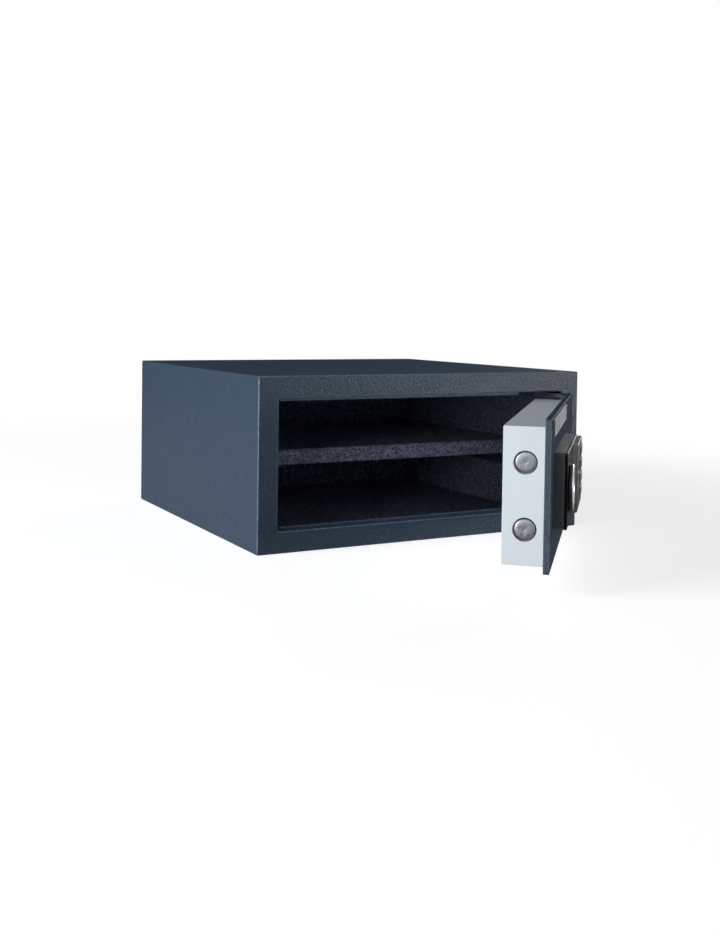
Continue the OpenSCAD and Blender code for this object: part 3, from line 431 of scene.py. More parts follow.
shelf_d0, shelf_d1, shelf_z0, shelf_z1, shelf_x = 110, 408.5, 82.5, 102.5, 218.5
felt_bend, felt_corner = 3.2, 3.6
felt_lumps = [(0.34, 7.0, 3), (0.26, 3.4, 4)]
quarter = np.linspace(0, np.pi / 2, 5)
rim = np.stack([felt_bend * (1 - np.sin(quarter)),
                -shelf_x + felt_bend * (1 - np.cos(quarter))], -1)
rows = np.linspace(-shelf_x + felt_bend, shelf_x - felt_bend, 110)[1:-1]
far = rim[::-1] * (1, -1)
wrap_steps = [*rim.tolist(), *[(0, x) for x in rows], *far.tolist()]
wrap = slab(shelf_d0, shelf_d1, shelf_z0, shelf_z1, felt_corner, wrap_steps, side=60, rows=6)
wrap = wrap[..., [1, 0, 2]]


def felted(p):
    """The wrap in the frame. Its faces sink in soft lumps, each kind with its depth and width in
    millimetres and its seed, and the sinking fades towards the middle of the board."""
    middle = np.array([0, (shelf_d0 + shelf_d1) / 2, (shelf_z0 + shelf_z1) / 2])
    half = np.array([shelf_x, (shelf_d1 - shelf_d0) / 2, (shelf_z1 - shelf_z0) / 2])
    away = (p - middle) / half
    lean = np.sign(away) * np.abs(away) ** 24
    sink = sum(depth * uneven(p, width, seed) for depth, width, seed in felt_lumps)
    return standing(p - lean * sink[:, None])


# The same felt as the lining in paler colours: painted light on the shelf.
shelf_felt_lit_copy = felt("shelf_felt", (0.078, 0.084, 0.150), (0.56, 0.58, 0.86), (0.85, 0.87, 0.98))
formed("shelf_wrap", [wrap], felted, "cabinet", [shelf_felt_lit_copy], ["shelf_felt"], 50)


def fibreboard(name):
    """Fibreboard: pressed brown fibres in short strands, with darker bark specks."""
    m = finish(name, (0.34, 0.22, 0.12), 0.8)
    at = put(m, "TexCoord", {}).outputs["Object"]
    pressed = put(m, "Mapping", {"Vector": at, "Scale": (1, 3, 3)}).outputs[0]
    strands = spread(m, pressed, 300, 6, 0.7)
    specks = between(m, spread(m, at, 900, 2), 0.0, 1.0, 0.62, 0.7)
    fibre = blend(m, between(m, strands, 0.0, 1.0), (0.28, 0.17, 0.09), (0.42, 0.29, 0.17))
    feed(m, Base_Color=blend(m, specks, fibre, (0.10, 0.06, 0.03)), Normal=relief(m, strands, 0.1))
    return m


def dress(node, m):
    """Gives a CAD node that stays as it is its material."""
    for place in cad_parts[node].material_slots:
        place.material = m


dress("shelf_board", fibreboard("pressed_fibreboard"))


def screw(at, out, r=4.0, height=2.3, shank=2.0, length=10.0):
    """A cross-head screw as one grid round its axis: the pan head falls to its rim along a circle,
    the cross is sunk by a fixed depth within its arms, and the shank follows below."""
    out = np.array(out, float)
    side = np.cross(out, (0.0, 0.0, 1.0)) if abs(out[2]) < 0.9 else np.array([1.0, 0, 0])
    up = np.cross(out, side)
    turn = np.linspace(0, 2 * np.pi, 49)
    reach = np.r_[np.linspace(0, 0.62 * r, 12), np.linspace(0.7 * r, r, 5)]
    dome = height - 0.45 * height * (reach / r) ** 3
    rr, tt = np.meshgrid(reach, turn, indexing="ij")
    a, b = rr * np.cos(tt), rr * np.sin(tt)
    arm = 0.14 * r
    arms = np.minimum(np.abs(a), np.abs(b)) < arm
    hole = np.where(arms & (rr < 0.56 * r), 0.62 * height * (1 - 0.5 * rr / (0.56 * r)), 0.0)
    head = np.repeat(dome[:, None], len(turn), 1) - hole
    below = [(0.0, r), (0.0, shank), (-length * 0.86, shank), (-length, shank * 0.4),
             (-length, 0.0)]
    low = np.array([h for h, _ in below])[:, None] + 0 * turn
    out_r = np.array([q for _, q in below])[:, None] + 0 * turn
    h = np.concatenate([head, low])[..., None]
    q = np.concatenate([rr, out_r])[..., None]
    around = np.cos(turn)[:, None] * side + np.sin(turn)[:, None] * up
    return np.array(at, float) + h * out + q * around[None]


zinc = metal("zinc_plate", (0.55, 0.56, 0.58), 0.34, fine=1200, depth=0.01, spot=0.82)
ledge_x, ledge_z, screw_rows = 209.5, 80.5, (140, 378.5)
shelf_screws = [screw((x, d, ledge_z), (0, 0, -1)) for x in (-ledge_x, ledge_x) for d in screw_rows]
formed("shelf_fixing_screws", shelf_screws, standing, "cabinet", [zinc], ["shelf_screws"])

# Door plate: 6 mm steel plate, cut to shape and powder coated like the body, in a
# paler blue that is painted light on the door. The door stands 47.3 degrees open, so
# its pieces are drawn shut and swung on the hinge.
door_open = math.radians(47.3)
hinge = np.array([213.0, 10.0])
plate_t, mid_z = 6, 100


def on_door(p):
    """Places drawn in the shut door, swung open about the hinge, in metres in the frame."""
    c, s = math.cos(door_open), math.sin(door_open)
    x, d = p[..., 0] - hinge[0], p[..., 1] - hinge[1]
    return standing(np.stack([hinge[0] + c * x - s * d, hinge[1] + s * x + c * d, p[..., 2]], -1))


# Painted light: the door's blue is paler than the body's, and its rolled edges paler still as wear
# and a painted highlight.
door_coat_lit_copy = powder_coat("blue_powder_coat_door", (0.085, 0.108, 0.142), 0.55, 0.0)
door_edge = powder_coat("blue_powder_coat_door_edge_wear_and_highlight", (0.12, 0.15, 0.19), 0.5, 0.1, wear=0.6)
eased(recut("door_front_plate", "door_plate", "door", [door_coat_lit_copy, door_edge]),
      0.6, 2, rim=1)

# Hinge: two cranked arms, cut from 5 mm plate and welded to the back of the door,
# coated with it. A hard steel pin is pressed into each arm and turns in its bush.
eased(recut("cranked_arms", "hinge_arms", "door", [door_coat_lit_copy, door_edge]),
      0.5, 2, rim=1, clamp=True)
ground_steel = metal("ground_steel", (0.46, 0.46, 0.48), 0.26, (1, 1, 12), depth=0.004)
eased(recut("turned_hinge_pins", "hinge_pins", "door", [ground_steel]), 0.4)


# Live bolts: two 20 mm bars of nickelled steel, faced off on a lathe with a bevelled
# tip, and turned down behind to a neck and head that hold them in the carriage.
def turned(profile, middle, axis, cuts=64):
    """A turned piece as one grid: a profile of (place along the axis, radius), carried round it."""
    axis = np.array(axis, float)
    side = np.array([0.0, 0.0, 1.0]) if abs(axis[2]) < 0.9 else np.array([1.0, 0.0, 0.0])
    up = np.cross(axis, side)
    turn = np.linspace(0, 2 * np.pi, cuts + 1)
    around = np.cos(turn)[:, None] * side + np.sin(turn)[:, None] * up
    run = np.array(profile, float)
    return np.array(middle, float) + run[:, :1, None] * axis + run[:, 1:, None] * around[None]


def lathed(name, colour, rough, pitch=0.35, depth=0.012):
    """Metal faced on a lathe: rings two tool pitches apart along the profile, over cloudy metal. At
    scale 1 the bands of a wave texture lie wave_length metres apart."""
    wave_length = 0.314
    m = finish(name, colour, rough, 1.0)
    at = put(m, "TexCoord", {})
    rings = put(m, "TexWave", {"Vector": at.outputs["UV"], "Scale": wave_length / (pitch * mm) / 2,
                               "Distortion": 0.4, "Detail": 1.0, "Detail Scale": 2.0},
                bands_direction="Y").outputs["Fac"]
    cloud = spread(m, at.outputs["Object"], 420, 5, 0.62, 0.6)
    rust = spread(m, at.outputs["Object"], 90, 3, 0.6)
    toned = blend(m, between(m, cloud, 0.0, 1.0), tuple(c * 0.72 for c in colour),
                  tuple(min(1, c * 1.2) for c in colour))
    shade = blend(m, between(m, rust, 0.0, 0.35), toned, tuple(c * 0.8 for c in colour))
    feed(m, Base_Color=shade, Roughness=between(m, cloud, rough - 0.08, rough + 0.1),
         Normal=relief(m, reckon(m, "ADD", rings, cloud), depth))
    return m


bolt_profile = [(0.35, 0), (0.3, 0.4), (0.04, 0.9), (0, 1.2), (0, 5.0), (0, 8.7), (0.08, 8.95),
                (0.55, 9.55), (0.92, 9.92), (1.15, 10.0), (2, 10), (20, 10), (40, 10), (56.6, 10),
                (56.8, 9.8), (56.8, 5), (59.8, 5), (59.8, 7), (61.4, 7), (61.8, 6.6), (61.8, 0)]
bolt_tip_x, bolt_d = -197.8, 23.5
bolts = [turned(bolt_profile, (bolt_tip_x, bolt_d, z), (1, 0, 0), 72) for z in bolt_rows]
bolt_steel = lathed("nickelled_bolt_steel", (0.35, 0.36, 0.395), 0.42)
formed("round_bolts", bolts, on_door, "bolts", [bolt_steel], ["live_bolts"], 24)

# Boltwork behind the plate: a pressed carriage on two headed posts, a guide bracket,
# the cam and its shaft, and the solenoid with its plunger. Plated or bare steel.
plated = metal("plated_sheet", (0.50, 0.50, 0.50), 0.38, fine=500, depth=0.01, spot=0.7)
for node in ("bolt_guide", "guide_posts", "box_posts"):
    eased(recut("plated_" + node, node, "door", [plated]), 0.3)
eased(recut("pressed_carriage", "bolt_carriage", "bolts", [plated]), 0.4)
eased(recut("cam_disc", "drive_cam", "knob", [plated]), 0.3)
eased(recut("knob_shaft", "knob_spindle", "knob", [ground_steel]), 0.3)


def wound(name):
    """Enamelled copper wire in close turns under clear tape."""
    m = finish(name, (0.42, 0.16, 0.05), 0.3, 0.6, Coat_Weight=0.4)
    at = put(m, "TexCoord", {}).outputs["Object"]
    turns = put(m, "TexWave", {"Vector": at, "Scale": 420.0, "Distortion": 0.3, "Detail": 1.0},
                bands_direction="Z").outputs["Fac"]
    patch = spread(m, at, 80, 3)
    wire = blend(m, turns, (0.20, 0.07, 0.02), (0.55, 0.24, 0.08))
    feed(m, Base_Color=blend(m, between(m, patch, 0.0, 0.4), wire, (0.30, 0.18, 0.08)),
         Normal=relief(m, turns, 0.12))
    return m


eased(recut("solenoid_coil", "solenoid", "door", [wound("copper_coil")]), 0.8)
eased(recut("turned_plunger", "solenoid_plunger", "plunger", [ground_steel]), 0.25)


def coil_spring(x, d, foot, height, turns=4.5, wire_r=0.38, coil_r=4.72):
    """A spring as one grid: a circle as thick as the wire, carried along a helix that stands on
    foot and rises evenly, and drawn in to a point at both ends."""
    share = np.linspace(0, 1, 181)
    rise = foot + wire_r + share * (height - 2 * wire_r)
    bow = 2 * np.pi * turns * share
    core = np.stack([x + coil_r * np.cos(bow), d + coil_r * np.sin(bow), rise], -1)
    outward = np.stack([np.cos(bow), np.sin(bow), 0 * bow], -1)
    ahead = np.gradient(core, axis=0)
    ahead /= np.linalg.norm(ahead, axis=1, keepdims=True)
    upward = np.cross(ahead, outward)
    round_wire = np.linspace(0, 2 * np.pi, 9)
    thick = np.r_[0, np.full(len(share) - 2, wire_r), 0][:, None, None]
    return core[:, None] + thick * (np.cos(round_wire)[None, :, None] * outward[:, None]
                                    + np.sin(round_wire)[None, :, None] * upward[:, None])


plunger_x, plunger_d, collar_z, coil_room = -57, 13.5, 126.5, 4.5
spring_wire = coil_spring(plunger_x, plunger_d, collar_z, coil_room)
spring = formed("plunger_coil_spring", [spring_wire], on_door, "door", [ground_steel],
                ["plunger_spring"], 60)
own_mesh(spring)

# Door cover: 1.5 mm sheet, folded into a tray that hides the boltwork, sprayed pale
# grey. It is open towards the plate and held by four cross-head screws from inside.
pale = (0.79, 0.86, 0.91)


def sprayed(name, colour, rub=0.0):
    """Smooth sprayed paint: a faint orange peel, slow clouding and grey rub marks on edges."""
    m = finish(name, colour, 0.42, Specular_IOR_Level=0.3)
    at = put(m, "TexCoord", {}).outputs["Object"]
    peel = spread(m, at, 520, 2, 0.4)
    cloud = spread(m, at, 14, 5, 0.55)
    toned = blend(m, between(m, cloud, 0.0, 1.0), colour, tuple(c * 0.94 for c in colour))
    if rub:
        marks = between(m, spread(m, at, 220, 5, 0.7), 0.0, rub, 0.5, 0.66)
        toned = blend(m, marks, toned, tuple(c * 0.55 for c in colour))
    feed(m, Base_Color=toned, Roughness=between(m, cloud, 0.38, 0.5), Normal=relief(m, peel, 0.03))
    return m


cover_paint, cover_edge = sprayed("pale_spray", pale), sprayed("pale_spray_edge", pale, 0.5)
eased(recut("folded_door_cover", "door_box", "door", [cover_paint, cover_edge]),
      0.45, 2, rim=1)
cover_d = 45
cover_screws = [screw((x, cover_d, z), (0, 1, 0), length=9.5)
                for x in (-120, 150) for z in (44, 156)]
formed("cover_screws", cover_screws, on_door, "door", [zinc], ["box_screws"])


# Batteries: four AA-size cells in a moulded tray behind a snap-in lid of the same
# pale grey, with finger ridges. Beside it a red reset button in its switch.
def moulded(name, colour, rough=0.5, fine=1800, depth=0.02, **more):
    """Injection-moulded plastic: fine eroded texture, faint flow clouds and polished spots."""
    m = finish(name, colour, rough, Specular_IOR_Level=more.pop("shine", 0.35), **more)
    at = put(m, "TexCoord", {}).outputs["Object"]
    grain = spread(m, at, fine, 2, 0.5)
    flow = spread(m, at, 22, 4, 0.6)
    cloudy = tuple(min(1, c * 1.25 + 0.002) for c in colour)
    toned = blend(m, between(m, flow, 0.0, 1.0), colour, cloudy)
    feed(m, Base_Color=toned, Roughness=between(m, flow, rough - 0.07, rough + 0.07),
         Normal=relief(m, grain, depth))
    return m


def wrapped_cell(name):
    """A cell's printed sleeve: two colour bands along it with a thin dividing line."""
    m = finish(name, (0.03, 0.07, 0.16), 0.25, 0.2, Coat_Weight=0.5)
    at = put(m, "TexCoord", {})
    along = put(m, "SeparateXYZ", {"Vector": at.outputs["UV"]}).outputs["Y"]
    band = between(m, along, 0.0, 1.0, 0.0425, 0.0428)
    scuff = between(m, spread(m, at.outputs["Object"], 300, 5, 0.7), 0.0, 0.6, 0.55, 0.7)
    sleeve = blend(m, band, (0.02, 0.05, 0.13), (0.55, 0.45, 0.24))
    feed(m, Base_Color=blend(m, scuff, sleeve, (0.10, 0.12, 0.16)))
    return m


black_tray = moulded("black_tray", (0.018, 0.019, 0.021))
eased(recut("cell_tray", "battery_tray", "door", [black_tray]), 0.3)
cell_profile = [(0, 0), (0, 4), (0.3, 5.5), (0.5, 6.6), (1.1, 7.2), (2, 7.25), (25, 7.25),
                (47.8, 7.25), (48.6, 7.0), (49.1, 6.0), (49.2, 2.8), (50.3, 2.6), (50.5, 2.2),
                (50.5, 0)]
cell_ends, cell_d, cell_rows = (35, 86.5), 35.2, (92.5, 107.5)
cells = [turned(cell_profile, (x, cell_d, z), (1, 0, 0), 40) for x in cell_ends for z in cell_rows]
formed("aa_cells", cells, on_door, "door", [wrapped_cell("cell_sleeve")], ["batteries"])
lid_plastic = moulded("pale_lid_plastic", (0.56, 0.61, 0.65), 0.45)
eased(recut("battery_lid_plate", "battery_cover", "battery_lid", [lid_plastic]), 0.5, 3)
lid_x, ridge_half, ridge_z0, ridge_z1 = 86, 0.8, 92, 108
ridge_steps = [(0.5, 47.15), (0.15, 47.0), (0, 46.6)]
ridges = [slab(x - ridge_half, x + ridge_half, ridge_z0, ridge_z1, ridge_half, ridge_steps, side=2)
          for x in lid_x + np.arange(36, 50, 3.2)]
formed("battery_lid_ridges", ridges, on_door, "battery_lid", [lid_plastic])
dress("reset_switch", black_tray)
red_plastic = moulded("red_button_plastic", (0.42, 0.02, 0.015), 0.35, fine=1200)
button_profile = [(46.2, 0), (46.25, 1.2), (46.4, 2.2), (46.5, 2.6), (46.4, 2.9), (46.1, 3),
                  (39.9, 3), (39.9, 0)]
button_x = 152
button = turned(button_profile, (button_x, 0, mid_z), (0, 1, 0), 40)
formed("reset_push_button", [button], on_door, "reset", [red_plastic], ["reset_button"])

# Lock housing: black moulded box on the plate's front, screwed from behind with four
# screws. A circuit board with a switch under each key lies on posts inside it.
housing_plastic = moulded("dark_housing_plastic", (0.150, 0.152, 0.168), 0.34, fine=1500,
                          depth=0.03)
rim_plastic = moulded("dark_housing_rim", (0.050, 0.050, 0.053), 0.3)
eased(recut("lock_housing", "module_housing", "door", [housing_plastic, rim_plastic]),
      0.8, 3, rim=1, clamp=True)
lock_screws = [screw((x, plate_t, z), (0, 1, 0), length=13)
               for x in (-150, 27) for z in (70.5, 129.5)]
formed("lock_fixing_screws", lock_screws, on_door, "door", [zinc], ["module_screws"])


def printed_board(name):
    """Green board: copper tracks under the mask in square runs, with tinned spots."""
    m = finish(name, (0.02, 0.13, 0.05), 0.35, Coat_Weight=0.3)
    at = put(m, "TexCoord", {}).outputs["Object"]
    flat = put(m, "Mapping", {"Vector": at, "Rotation": (1.57, 0, -0.8255)}).outputs[0]
    tracks = put(m, "TexBrick", {"Vector": flat, "Scale": 180.0, "Mortar Size": 0.03,
                                 "Color1": (0.02, 0.12, 0.05, 1), "Color2": (0.02, 0.16, 0.07, 1),
                                 "Mortar": (0.10, 0.30, 0.10, 1)}).outputs["Color"]
    spots = between(m, put(m, "TexVoronoi", {"Vector": at, "Scale": 240.0}).outputs["Distance"],
                    1.0, 0.0, 0.12, 0.16)
    feed(m, Base_Color=blend(m, spots, tracks, (0.45, 0.45, 0.43)))
    return m


dress("circuit_board", printed_board("green_board"))

# Fascia and bezel: glossy black cover of the lock, with a raised satin bezel over
# the keypad. A smoked display window and three small lights sit in the bezel.
gloss = moulded("gloss_black_fascia", (0.003, 0.0032, 0.005), 0.4, fine=60, depth=0.01, shine=0.06)
gloss_rim = moulded("gloss_black_rim", (0.004, 0.004, 0.006), 0.4, shine=0.06)
eased(recut("gloss_fascia", "module_fascia", "door", [gloss, gloss_rim]), 0.6, 3, rim=1)
satin = moulded("satin_bezel", (0.020, 0.021, 0.023), 0.38, fine=2200, depth=0.015)
satin_rim = moulded("satin_bezel_rim", (0.045, 0.046, 0.050), 0.3)
eased(recut("keypad_frame", "keypad_bezel", "door", [satin, satin_rim]), 0.35, 2, rim=1)
smoked = moulded("smoked_window", (0.030, 0.003, 0.004), 0.08, fine=40, depth=0.004,
                 Coat_Weight=1.0)
window_steps = [(0.14, -18.98), (0.04, -18.94), (0, -18.84), (0, -17.5)]
window = slab(-58, -17.9, 105, 123, 0.6, window_steps, side=6)
formed("display_pane", [window], on_door, "door", [smoked], ["display_window"])
lens_profile = [(-19.3, 0), (-19.27, 0.6), (-19.15, 1.2), (-18.95, 1.7), (-18.7, 1.95), (-18.4, 2),
                (-17, 2), (-17, 0)]
lens_z = 90
lenses = [turned(lens_profile, (x, 0, lens_z), (0, 1, 0), 32) for x in (-51.32, -37.95, -24.58)]
lens_tints = [moulded(name, tint, 0.12, fine=200, depth=0.004, Coat_Weight=0.6) for name, tint in
              (("red_lens", (0.30, 0.012, 0.010)), ("amber_lens", (0.36, 0.16, 0.01)),
               ("green_lens", (0.012, 0.22, 0.04)))]
formed("light_lenses", lenses, on_door, "door", lens_tints, ["status_lights"],
       tones=[0, 1, 2])

# Keys: twelve moulded keys, dished for the finger, each with a lip behind the bezel
# that stops it, and a plain numeral or sign printed in white.
key_plastic = moulded("key_plastic", (0.050, 0.052, 0.056), 0.45, fine=2400, depth=0.012)
white_print = moulded("white_print", (0.72, 0.73, 0.74), 0.5, fine=1500, depth=0.01)
first_x, first_z, across_pitch, down_pitch = -4.7, 122.5, 14.5, 15
key_half_x, key_half_z, key_corner, lip_wide = 6, 5.5, 1.2, 0.7
key_top, dish_depth = -19.9, 0.32
key_roll = [(0.55, 0.0), (0.2, 0.1), (0.04, 0.3), (0, 0.6), (0, 3.2)]
lip_steps = [(0, -16.7), (0, -15.7)]


def printed(name, sign, x, z, face):
    """A sign as a thin solid, centred on a key, that follows the key's face and stands off it by
    less than a tenth of a millimetre."""
    size, half_thick, stand_off = 6.4, 0.03, 0.05
    letter = bpy.data.curves.new(name, "FONT")
    letter.body = sign
    letter.size = size
    letter.extrude = half_thick
    letter.align_x = "CENTER"
    letter.align_y = "CENTER"
    letter.resolution_u = 4
    form = bpy.data.objects.new(name, letter)
    mesh = bpy.data.meshes.new_from_object(form)
    bpy.data.objects.remove(form)
    co = np.empty(len(mesh.vertices) * 3)
    mesh.vertices.foreach_get("co", co)
    co = co.reshape(-1, 3)
    middle = (co.max(0) + co.min(0)) / 2
    a, b = x + co[:, 0] - middle[0], z + co[:, 1] - middle[1]
    spot = on_door(np.stack([a, face(a, b) - stand_off - co[:, 2], b], -1))
    mesh.vertices.foreach_set("co", spot.ravel())
    mesh.update()
    return mesh


for i, (key, sign) in enumerate(zip("123456789a0b", "123456789*0#")):
    x, z = first_x + across_pitch * (i % 3), first_z - down_pitch * (i // 3)

    def face(a, b):
        """The dish: deepest in the middle, with its depth falling as a square towards the rim."""
        edge = np.maximum(np.abs(a - x) / key_half_x, np.abs(b - z) / key_half_z)
        return key_top + dish_depth * np.clip(1 - edge ** 2, 0, 1)

    cap = slab(x - key_half_x, x + key_half_x, z - key_half_z, z + key_half_z, key_corner,
               [(inset, key_top + down) for inset, down in key_roll],
               lambda a, b: face(a, b) - key_top, side=5, rows=9)
    lip_x, lip_z = key_half_x + lip_wide, key_half_z + lip_wide
    lip = slab(x - lip_x, x + lip_x, z - lip_z, z + lip_z, key_corner, lip_steps, side=2, rows=2)
    name = "key_" + key
    formed("keycap_" + key, [cap, lip], on_door, name, [key_plastic], [name])
    shown("sign_" + key, printed("sign_" + key, sign, x, z, face), name, [white_print])

# Knob: moulded black grip with a bright pressed face, dished on both sides of a
# finger bar. It turns the shaft to draw the bolts.
grip_plastic = moulded("knob_grip_plastic", (0.060, 0.061, 0.065), 0.32, fine=1600, depth=0.02)
grip_profile = [(-13.9, 0), (-13.9, 22.6), (-14.0, 23.1), (-14.3, 23.45), (-14.8, 23.6),
                (-16.9, 23.6), (-17.3, 23.5), (-17.6, 23.25), (-17.7, 23.0), (-17.6, 22.82),
                (-15.4, 22.8), (-15.4, 0)]
knob_x = -128
grip = turned(grip_profile, (knob_x, 0, mid_z), (0, 1, 0), 96)
formed("knob_ring", [grip], on_door, "knob", [grip_plastic], ["knob_grip"])


def knob_face():
    """The face as one polar grid: flat rim and bar, and between them a dish whose depth eases in
    over slope millimetres from the bar's edge and from the rim's, as three squares less two
    cubes."""
    top, dish_deep, bar_half, dish_r, slope = -18.1, 1.9, 4.6, 18.3, 2.6
    turn = np.linspace(0, 2 * np.pi, 145)
    reach = np.r_[np.linspace(0, 19, 58), np.linspace(19.4, 22.3, 6)]
    rr, tt = np.meshgrid(reach, turn, indexing="ij")
    from_bar = np.clip((np.abs(rr * np.sin(tt)) - bar_half) / slope, 0, 1)
    from_rim = np.clip((dish_r - rr) / slope, 0, 1)
    dish = dish_deep * from_bar ** 2 * (3 - 2 * from_bar) * from_rim ** 2 * (3 - 2 * from_rim)
    edge = np.array([(-18.02, 22.55), (-17.85, 22.72), (-17.6, 22.8), (-15.4, 22.8), (-15.4, 0)])
    d = np.concatenate([top + dish, edge[:, :1] + 0 * turn])
    r = np.concatenate([rr, edge[:, 1:] + 0 * turn])
    return np.stack([knob_x + r * np.sin(turn), d, mid_z + r * np.cos(turn)], -1)


bright = metal("bright_knob_metal", (0.78, 0.785, 0.80), 0.3, (1, 1, 14), fine=500, depth=0.004,
               spot=0.86, turn=-door_open)
formed("knob_bright_face", [knob_face()], on_door, "knob", [bright], ["knob_cap"], 40)

# Emergency keyhole: nickelled barrel pressed through the plate, with a brass core
# that the key turns, hidden by a small push-in cap of black plastic.
nickel = lathed("nickelled_barrel", (0.50, 0.49, 0.46), 0.3, 0.5, 0.006)
eased(recut("lock_barrel", "keyhole_barrel", "door", [nickel]), 0.25)
brass = metal("brass_core", (0.50, 0.36, 0.13), 0.32, (1, 14, 1), depth=0.006, turn=-door_open)
eased(recut("lock_core", "keyhole_core", "key_core", [brass]), 0.15)
cap_profile = [(-14.8, 0), (-14.8, 6.6), (-14.62, 7.0), (-14.62, 7.5), (-14.76, 7.8),
               (-14.72, 8.5), (-14.5, 8.9), (-14.2, 9), (-13.7, 9), (-13.6, 8.8), (-13.6, 6),
               (-11.6, 6), (-11.3, 5.7), (-11.3, 0)]
plug_x = -88
plug = turned(cap_profile, (plug_x, 0, mid_z), (0, 1, 0), 64)
formed("keyhole_plug", [plug], on_door, "key_cap",
       [moulded("cap_plastic", (0.020, 0.021, 0.023), 0.4)], ["keyhole_cap"])

# Blank plate: brushed and clear-coated aluminium, stuck to the door above the lock.
# It is bare, with a shallow rolled edge.
brushed = metal("brushed_plate", (0.16, 0.165, 0.175), 0.62, (1, 1, 30), fine=260, depth=0.006,
                spot=0.95, turn=-door_open)
rolled_edge = [(1.3, -1.55), (0.9, -1.62), (0.55, -1.8), (0.25, -1.72), (0.05, -1.5), (0, -1.2),
               (0, 0)]
trim = slab(-176, 29, 154.5, 171, 1.0, rolled_edge, side=8)
formed("blank_trim_plate", [trim], on_door, "door", [brushed], ["badge_plate"])


# Floor: pale matt paper that fades to plain white away from the safe and keeps its
# shadow near it. It is lifted for the camera, but not under the safe itself, where
# it would shine up through the anchor holes.
def seen_rays(m, path):
    """1 for the rays that the camera sees, also by way of metal and glass, and 0 for the rest."""
    seen = reckon(m, "MAXIMUM", path.outputs["Is Camera Ray"], path.outputs["Is Glossy Ray"])
    return reckon(m, "MAXIMUM", seen, path.outputs["Is Transmission Ray"])


def flat_sheet(name, corners, m):
    """One flat face of the stage, through four corners."""
    mesh = bpy.data.meshes.new(name)
    mesh.from_pydata(corners, [], [(0, 1, 2, 3)])
    mesh.materials.append(m)
    sheet = bpy.data.objects.new(name, mesh)
    bpy.context.scene.collection.objects.link(sheet)
    return sheet


far_edge, fade_from, fade_to = 30, 0.55, 1.5
under_safe = (("X", 0.224), ("Y", 0.206))
camera_lift, mirror_lift, matt_grey, mirror_grey = 0.62, 0.1, 0.72, 0.1
paper = bpy.data.materials.new("pale_paper")
paper.use_nodes = True
nodes, links = paper.node_tree.nodes, paper.node_tree.links
nodes.remove(nodes["Principled BSDF"])
path = nodes.new("ShaderNodeLightPath")
by_camera = path.outputs["Is Camera Ray"]
place = put(paper, "TexCoord", {}).outputs["Object"]
away = put(paper, "VectorMath", {0: place}, operation="LENGTH").outputs["Value"]
faded = between(paper, away, 0.0, 1.0, fade_from, fade_to)
white_share = reckon(paper, "MULTIPLY", by_camera, faded)
aside = put(paper, "VectorMath", {0: place}, operation="ABSOLUTE").outputs["Vector"]
sides = put(paper, "SeparateXYZ", {"Vector": aside}).outputs
beyond = [reckon(paper, "GREATER_THAN", sides[axis], half) for axis, half in under_safe]
clear = reckon(paper, "MAXIMUM", *beyond)
in_metal = reckon(paper, "MULTIPLY", seen_rays(paper, path), mirror_lift)
lifted = reckon(paper, "MULTIPLY_ADD", by_camera, camera_lift, in_metal)
lift_share = reckon(paper, "MULTIPLY", lifted, clear)
white = (1, 1, 1, 1)
glow = put(paper, "Emission", {"Color": white, "Strength": 1.0})
lift = put(paper, "Emission", {"Color": white, "Strength": lift_share})
grey = between(paper, path.outputs["Is Glossy Ray"], matt_grey, mirror_grey, 0, 1)
matt = put(paper, "BsdfDiffuse", {"Color": grey})
both = nodes.new("ShaderNodeAddShader")
links.new(matt.outputs[0], both.inputs[0])
links.new(lift.outputs[0], both.inputs[1])
ground = nodes.new("ShaderNodeMixShader")
links.new(white_share, ground.inputs[0])
links.new(both.outputs[0], ground.inputs[1])
links.new(glow.outputs[0], ground.inputs[2])
links.new(ground.outputs[0], nodes["Material Output"].inputs["Surface"])
flat_sheet("floor", [(-far_edge, -far_edge, 0), (far_edge, -far_edge, 0), (far_edge, far_edge, 0),
                     (-far_edge, far_edge, 0)], paper)

# Light: four soft lamps stand low round the safe, the strongest on its left. The
# world is white to the camera, metal and glass, and dim to everything else.
dim_room = (0.016, 0.020, 0.028)
world = bpy.data.worlds.new("studio")
bpy.context.scene.world = world
world.use_nodes = True
room, wires = world.node_tree.nodes, world.node_tree.links
room_seen = seen_rays(world, room.new("ShaderNodeLightPath"))
wires.new(blend(world, room_seen, dim_room, (1.0, 1.0, 1.0)), room["Background"].inputs["Color"])


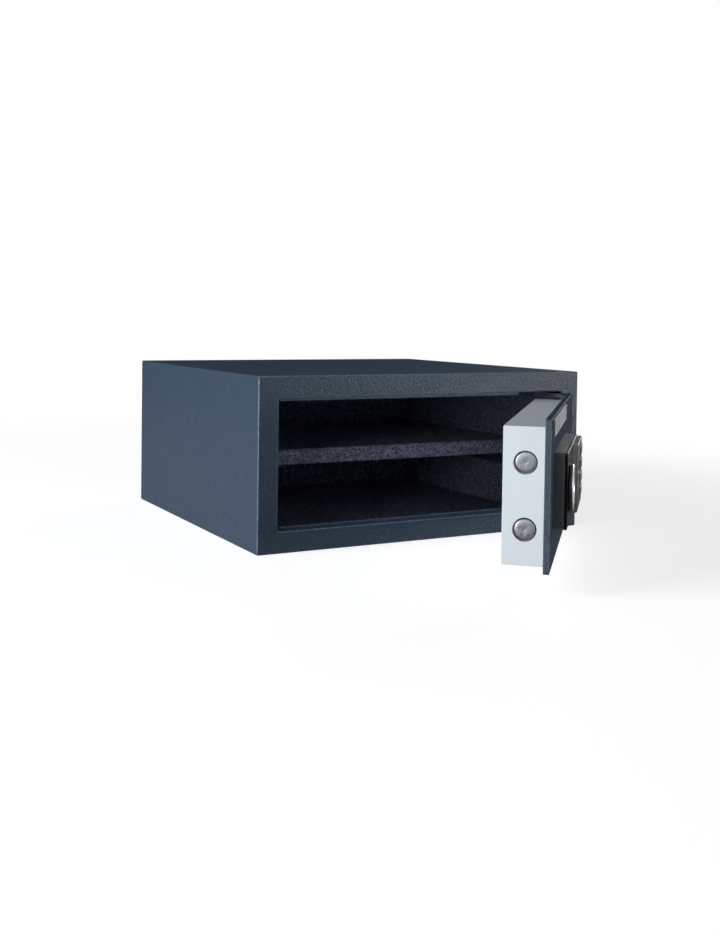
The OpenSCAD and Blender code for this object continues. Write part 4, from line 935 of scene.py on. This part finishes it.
def lamp(name, side, height, away, size, power):
    """A square soft lamp that faces the safe from this side and height, both in degrees, this many
    metres away. At side 0 it stands before the front, and it goes round to the right."""
    a, h = math.radians(side), math.radians(height)
    light = bpy.data.lights.new(name, "AREA")
    light.size = size
    light.energy = power
    holder = bpy.data.objects.new(name, light)
    back = np.array([math.sin(a) * math.cos(h), -math.cos(a) * math.cos(h), math.sin(h)])
    safe_middle = Vector((0, 0, 0.1))
    holder.location = safe_middle + Vector(back) * away
    holder.rotation_mode = "QUATERNION"
    holder.rotation_quaternion = Vector(-back).to_track_quat("-Z", "Y")
    bpy.context.scene.collection.objects.link(holder)
    holder.visible_camera = False


lamp("key_lamp", -85, 12, 3.0, 1.5, 93)
lamp("front_left_lamp", -52, 7, 3.0, 0.7, 7)
lamp("front_right_lamp", 47, 3, 3.0, 0.4, 18)
lamp("right_lamp", 114, 9, 3.0, 1.8, 40)

# Black card: stands behind the safe, where only glossy rays meet it, and keeps the
# top as dark as in the photograph.
card_left, card_right, card_y, card_top = -2.2, 1.9, 1.5, 4.0
card = flat_sheet("dark_card", [(card_left, card_y, 0), (card_right, card_y, 0),
                                (card_right, card_y, card_top), (card_left, card_y, card_top)],
                  finish("black_cloth", (0.004, 0.004, 0.004), 0.5, Specular_IOR_Level=0.0))
card.visible_camera = card.visible_diffuse = card.visible_shadow = card.visible_transmission = False

# Camera: where the photograph's camera stood. It looks down a little and is rolled a
# little, and its shift gives the photograph's framing.
azimuth, elevation, roll = (math.radians(v) for v in (-27.586, 1.724, 0.780))
back = Vector((math.sin(azimuth) * math.cos(elevation), -math.cos(azimuth) * math.cos(elevation),
               math.sin(elevation)))
right = Vector((math.cos(azimuth), math.sin(azimuth), 0))
up = back.cross(right)
across = math.cos(roll) * right + math.sin(roll) * up
upright = math.cos(roll) * up - math.sin(roll) * right
lens = bpy.data.cameras.new("camera")
lens.lens = 42.28
lens.shift_x = 0.032
lens.shift_y = -0.126
camera = bpy.data.objects.new("camera", lens)
bpy.context.scene.collection.objects.link(camera)
eye = Vector((-0.7168, -1.3172, 0.2661))
rows = [[across[k], upright[k], back[k], eye[k]] for k in range(3)]
camera.matrix_world = Matrix(rows + [[0, 0, 0, 1]])
bpy.context.scene.camera = camera
bpy.context.scene.view_settings.view_transform = "Standard"
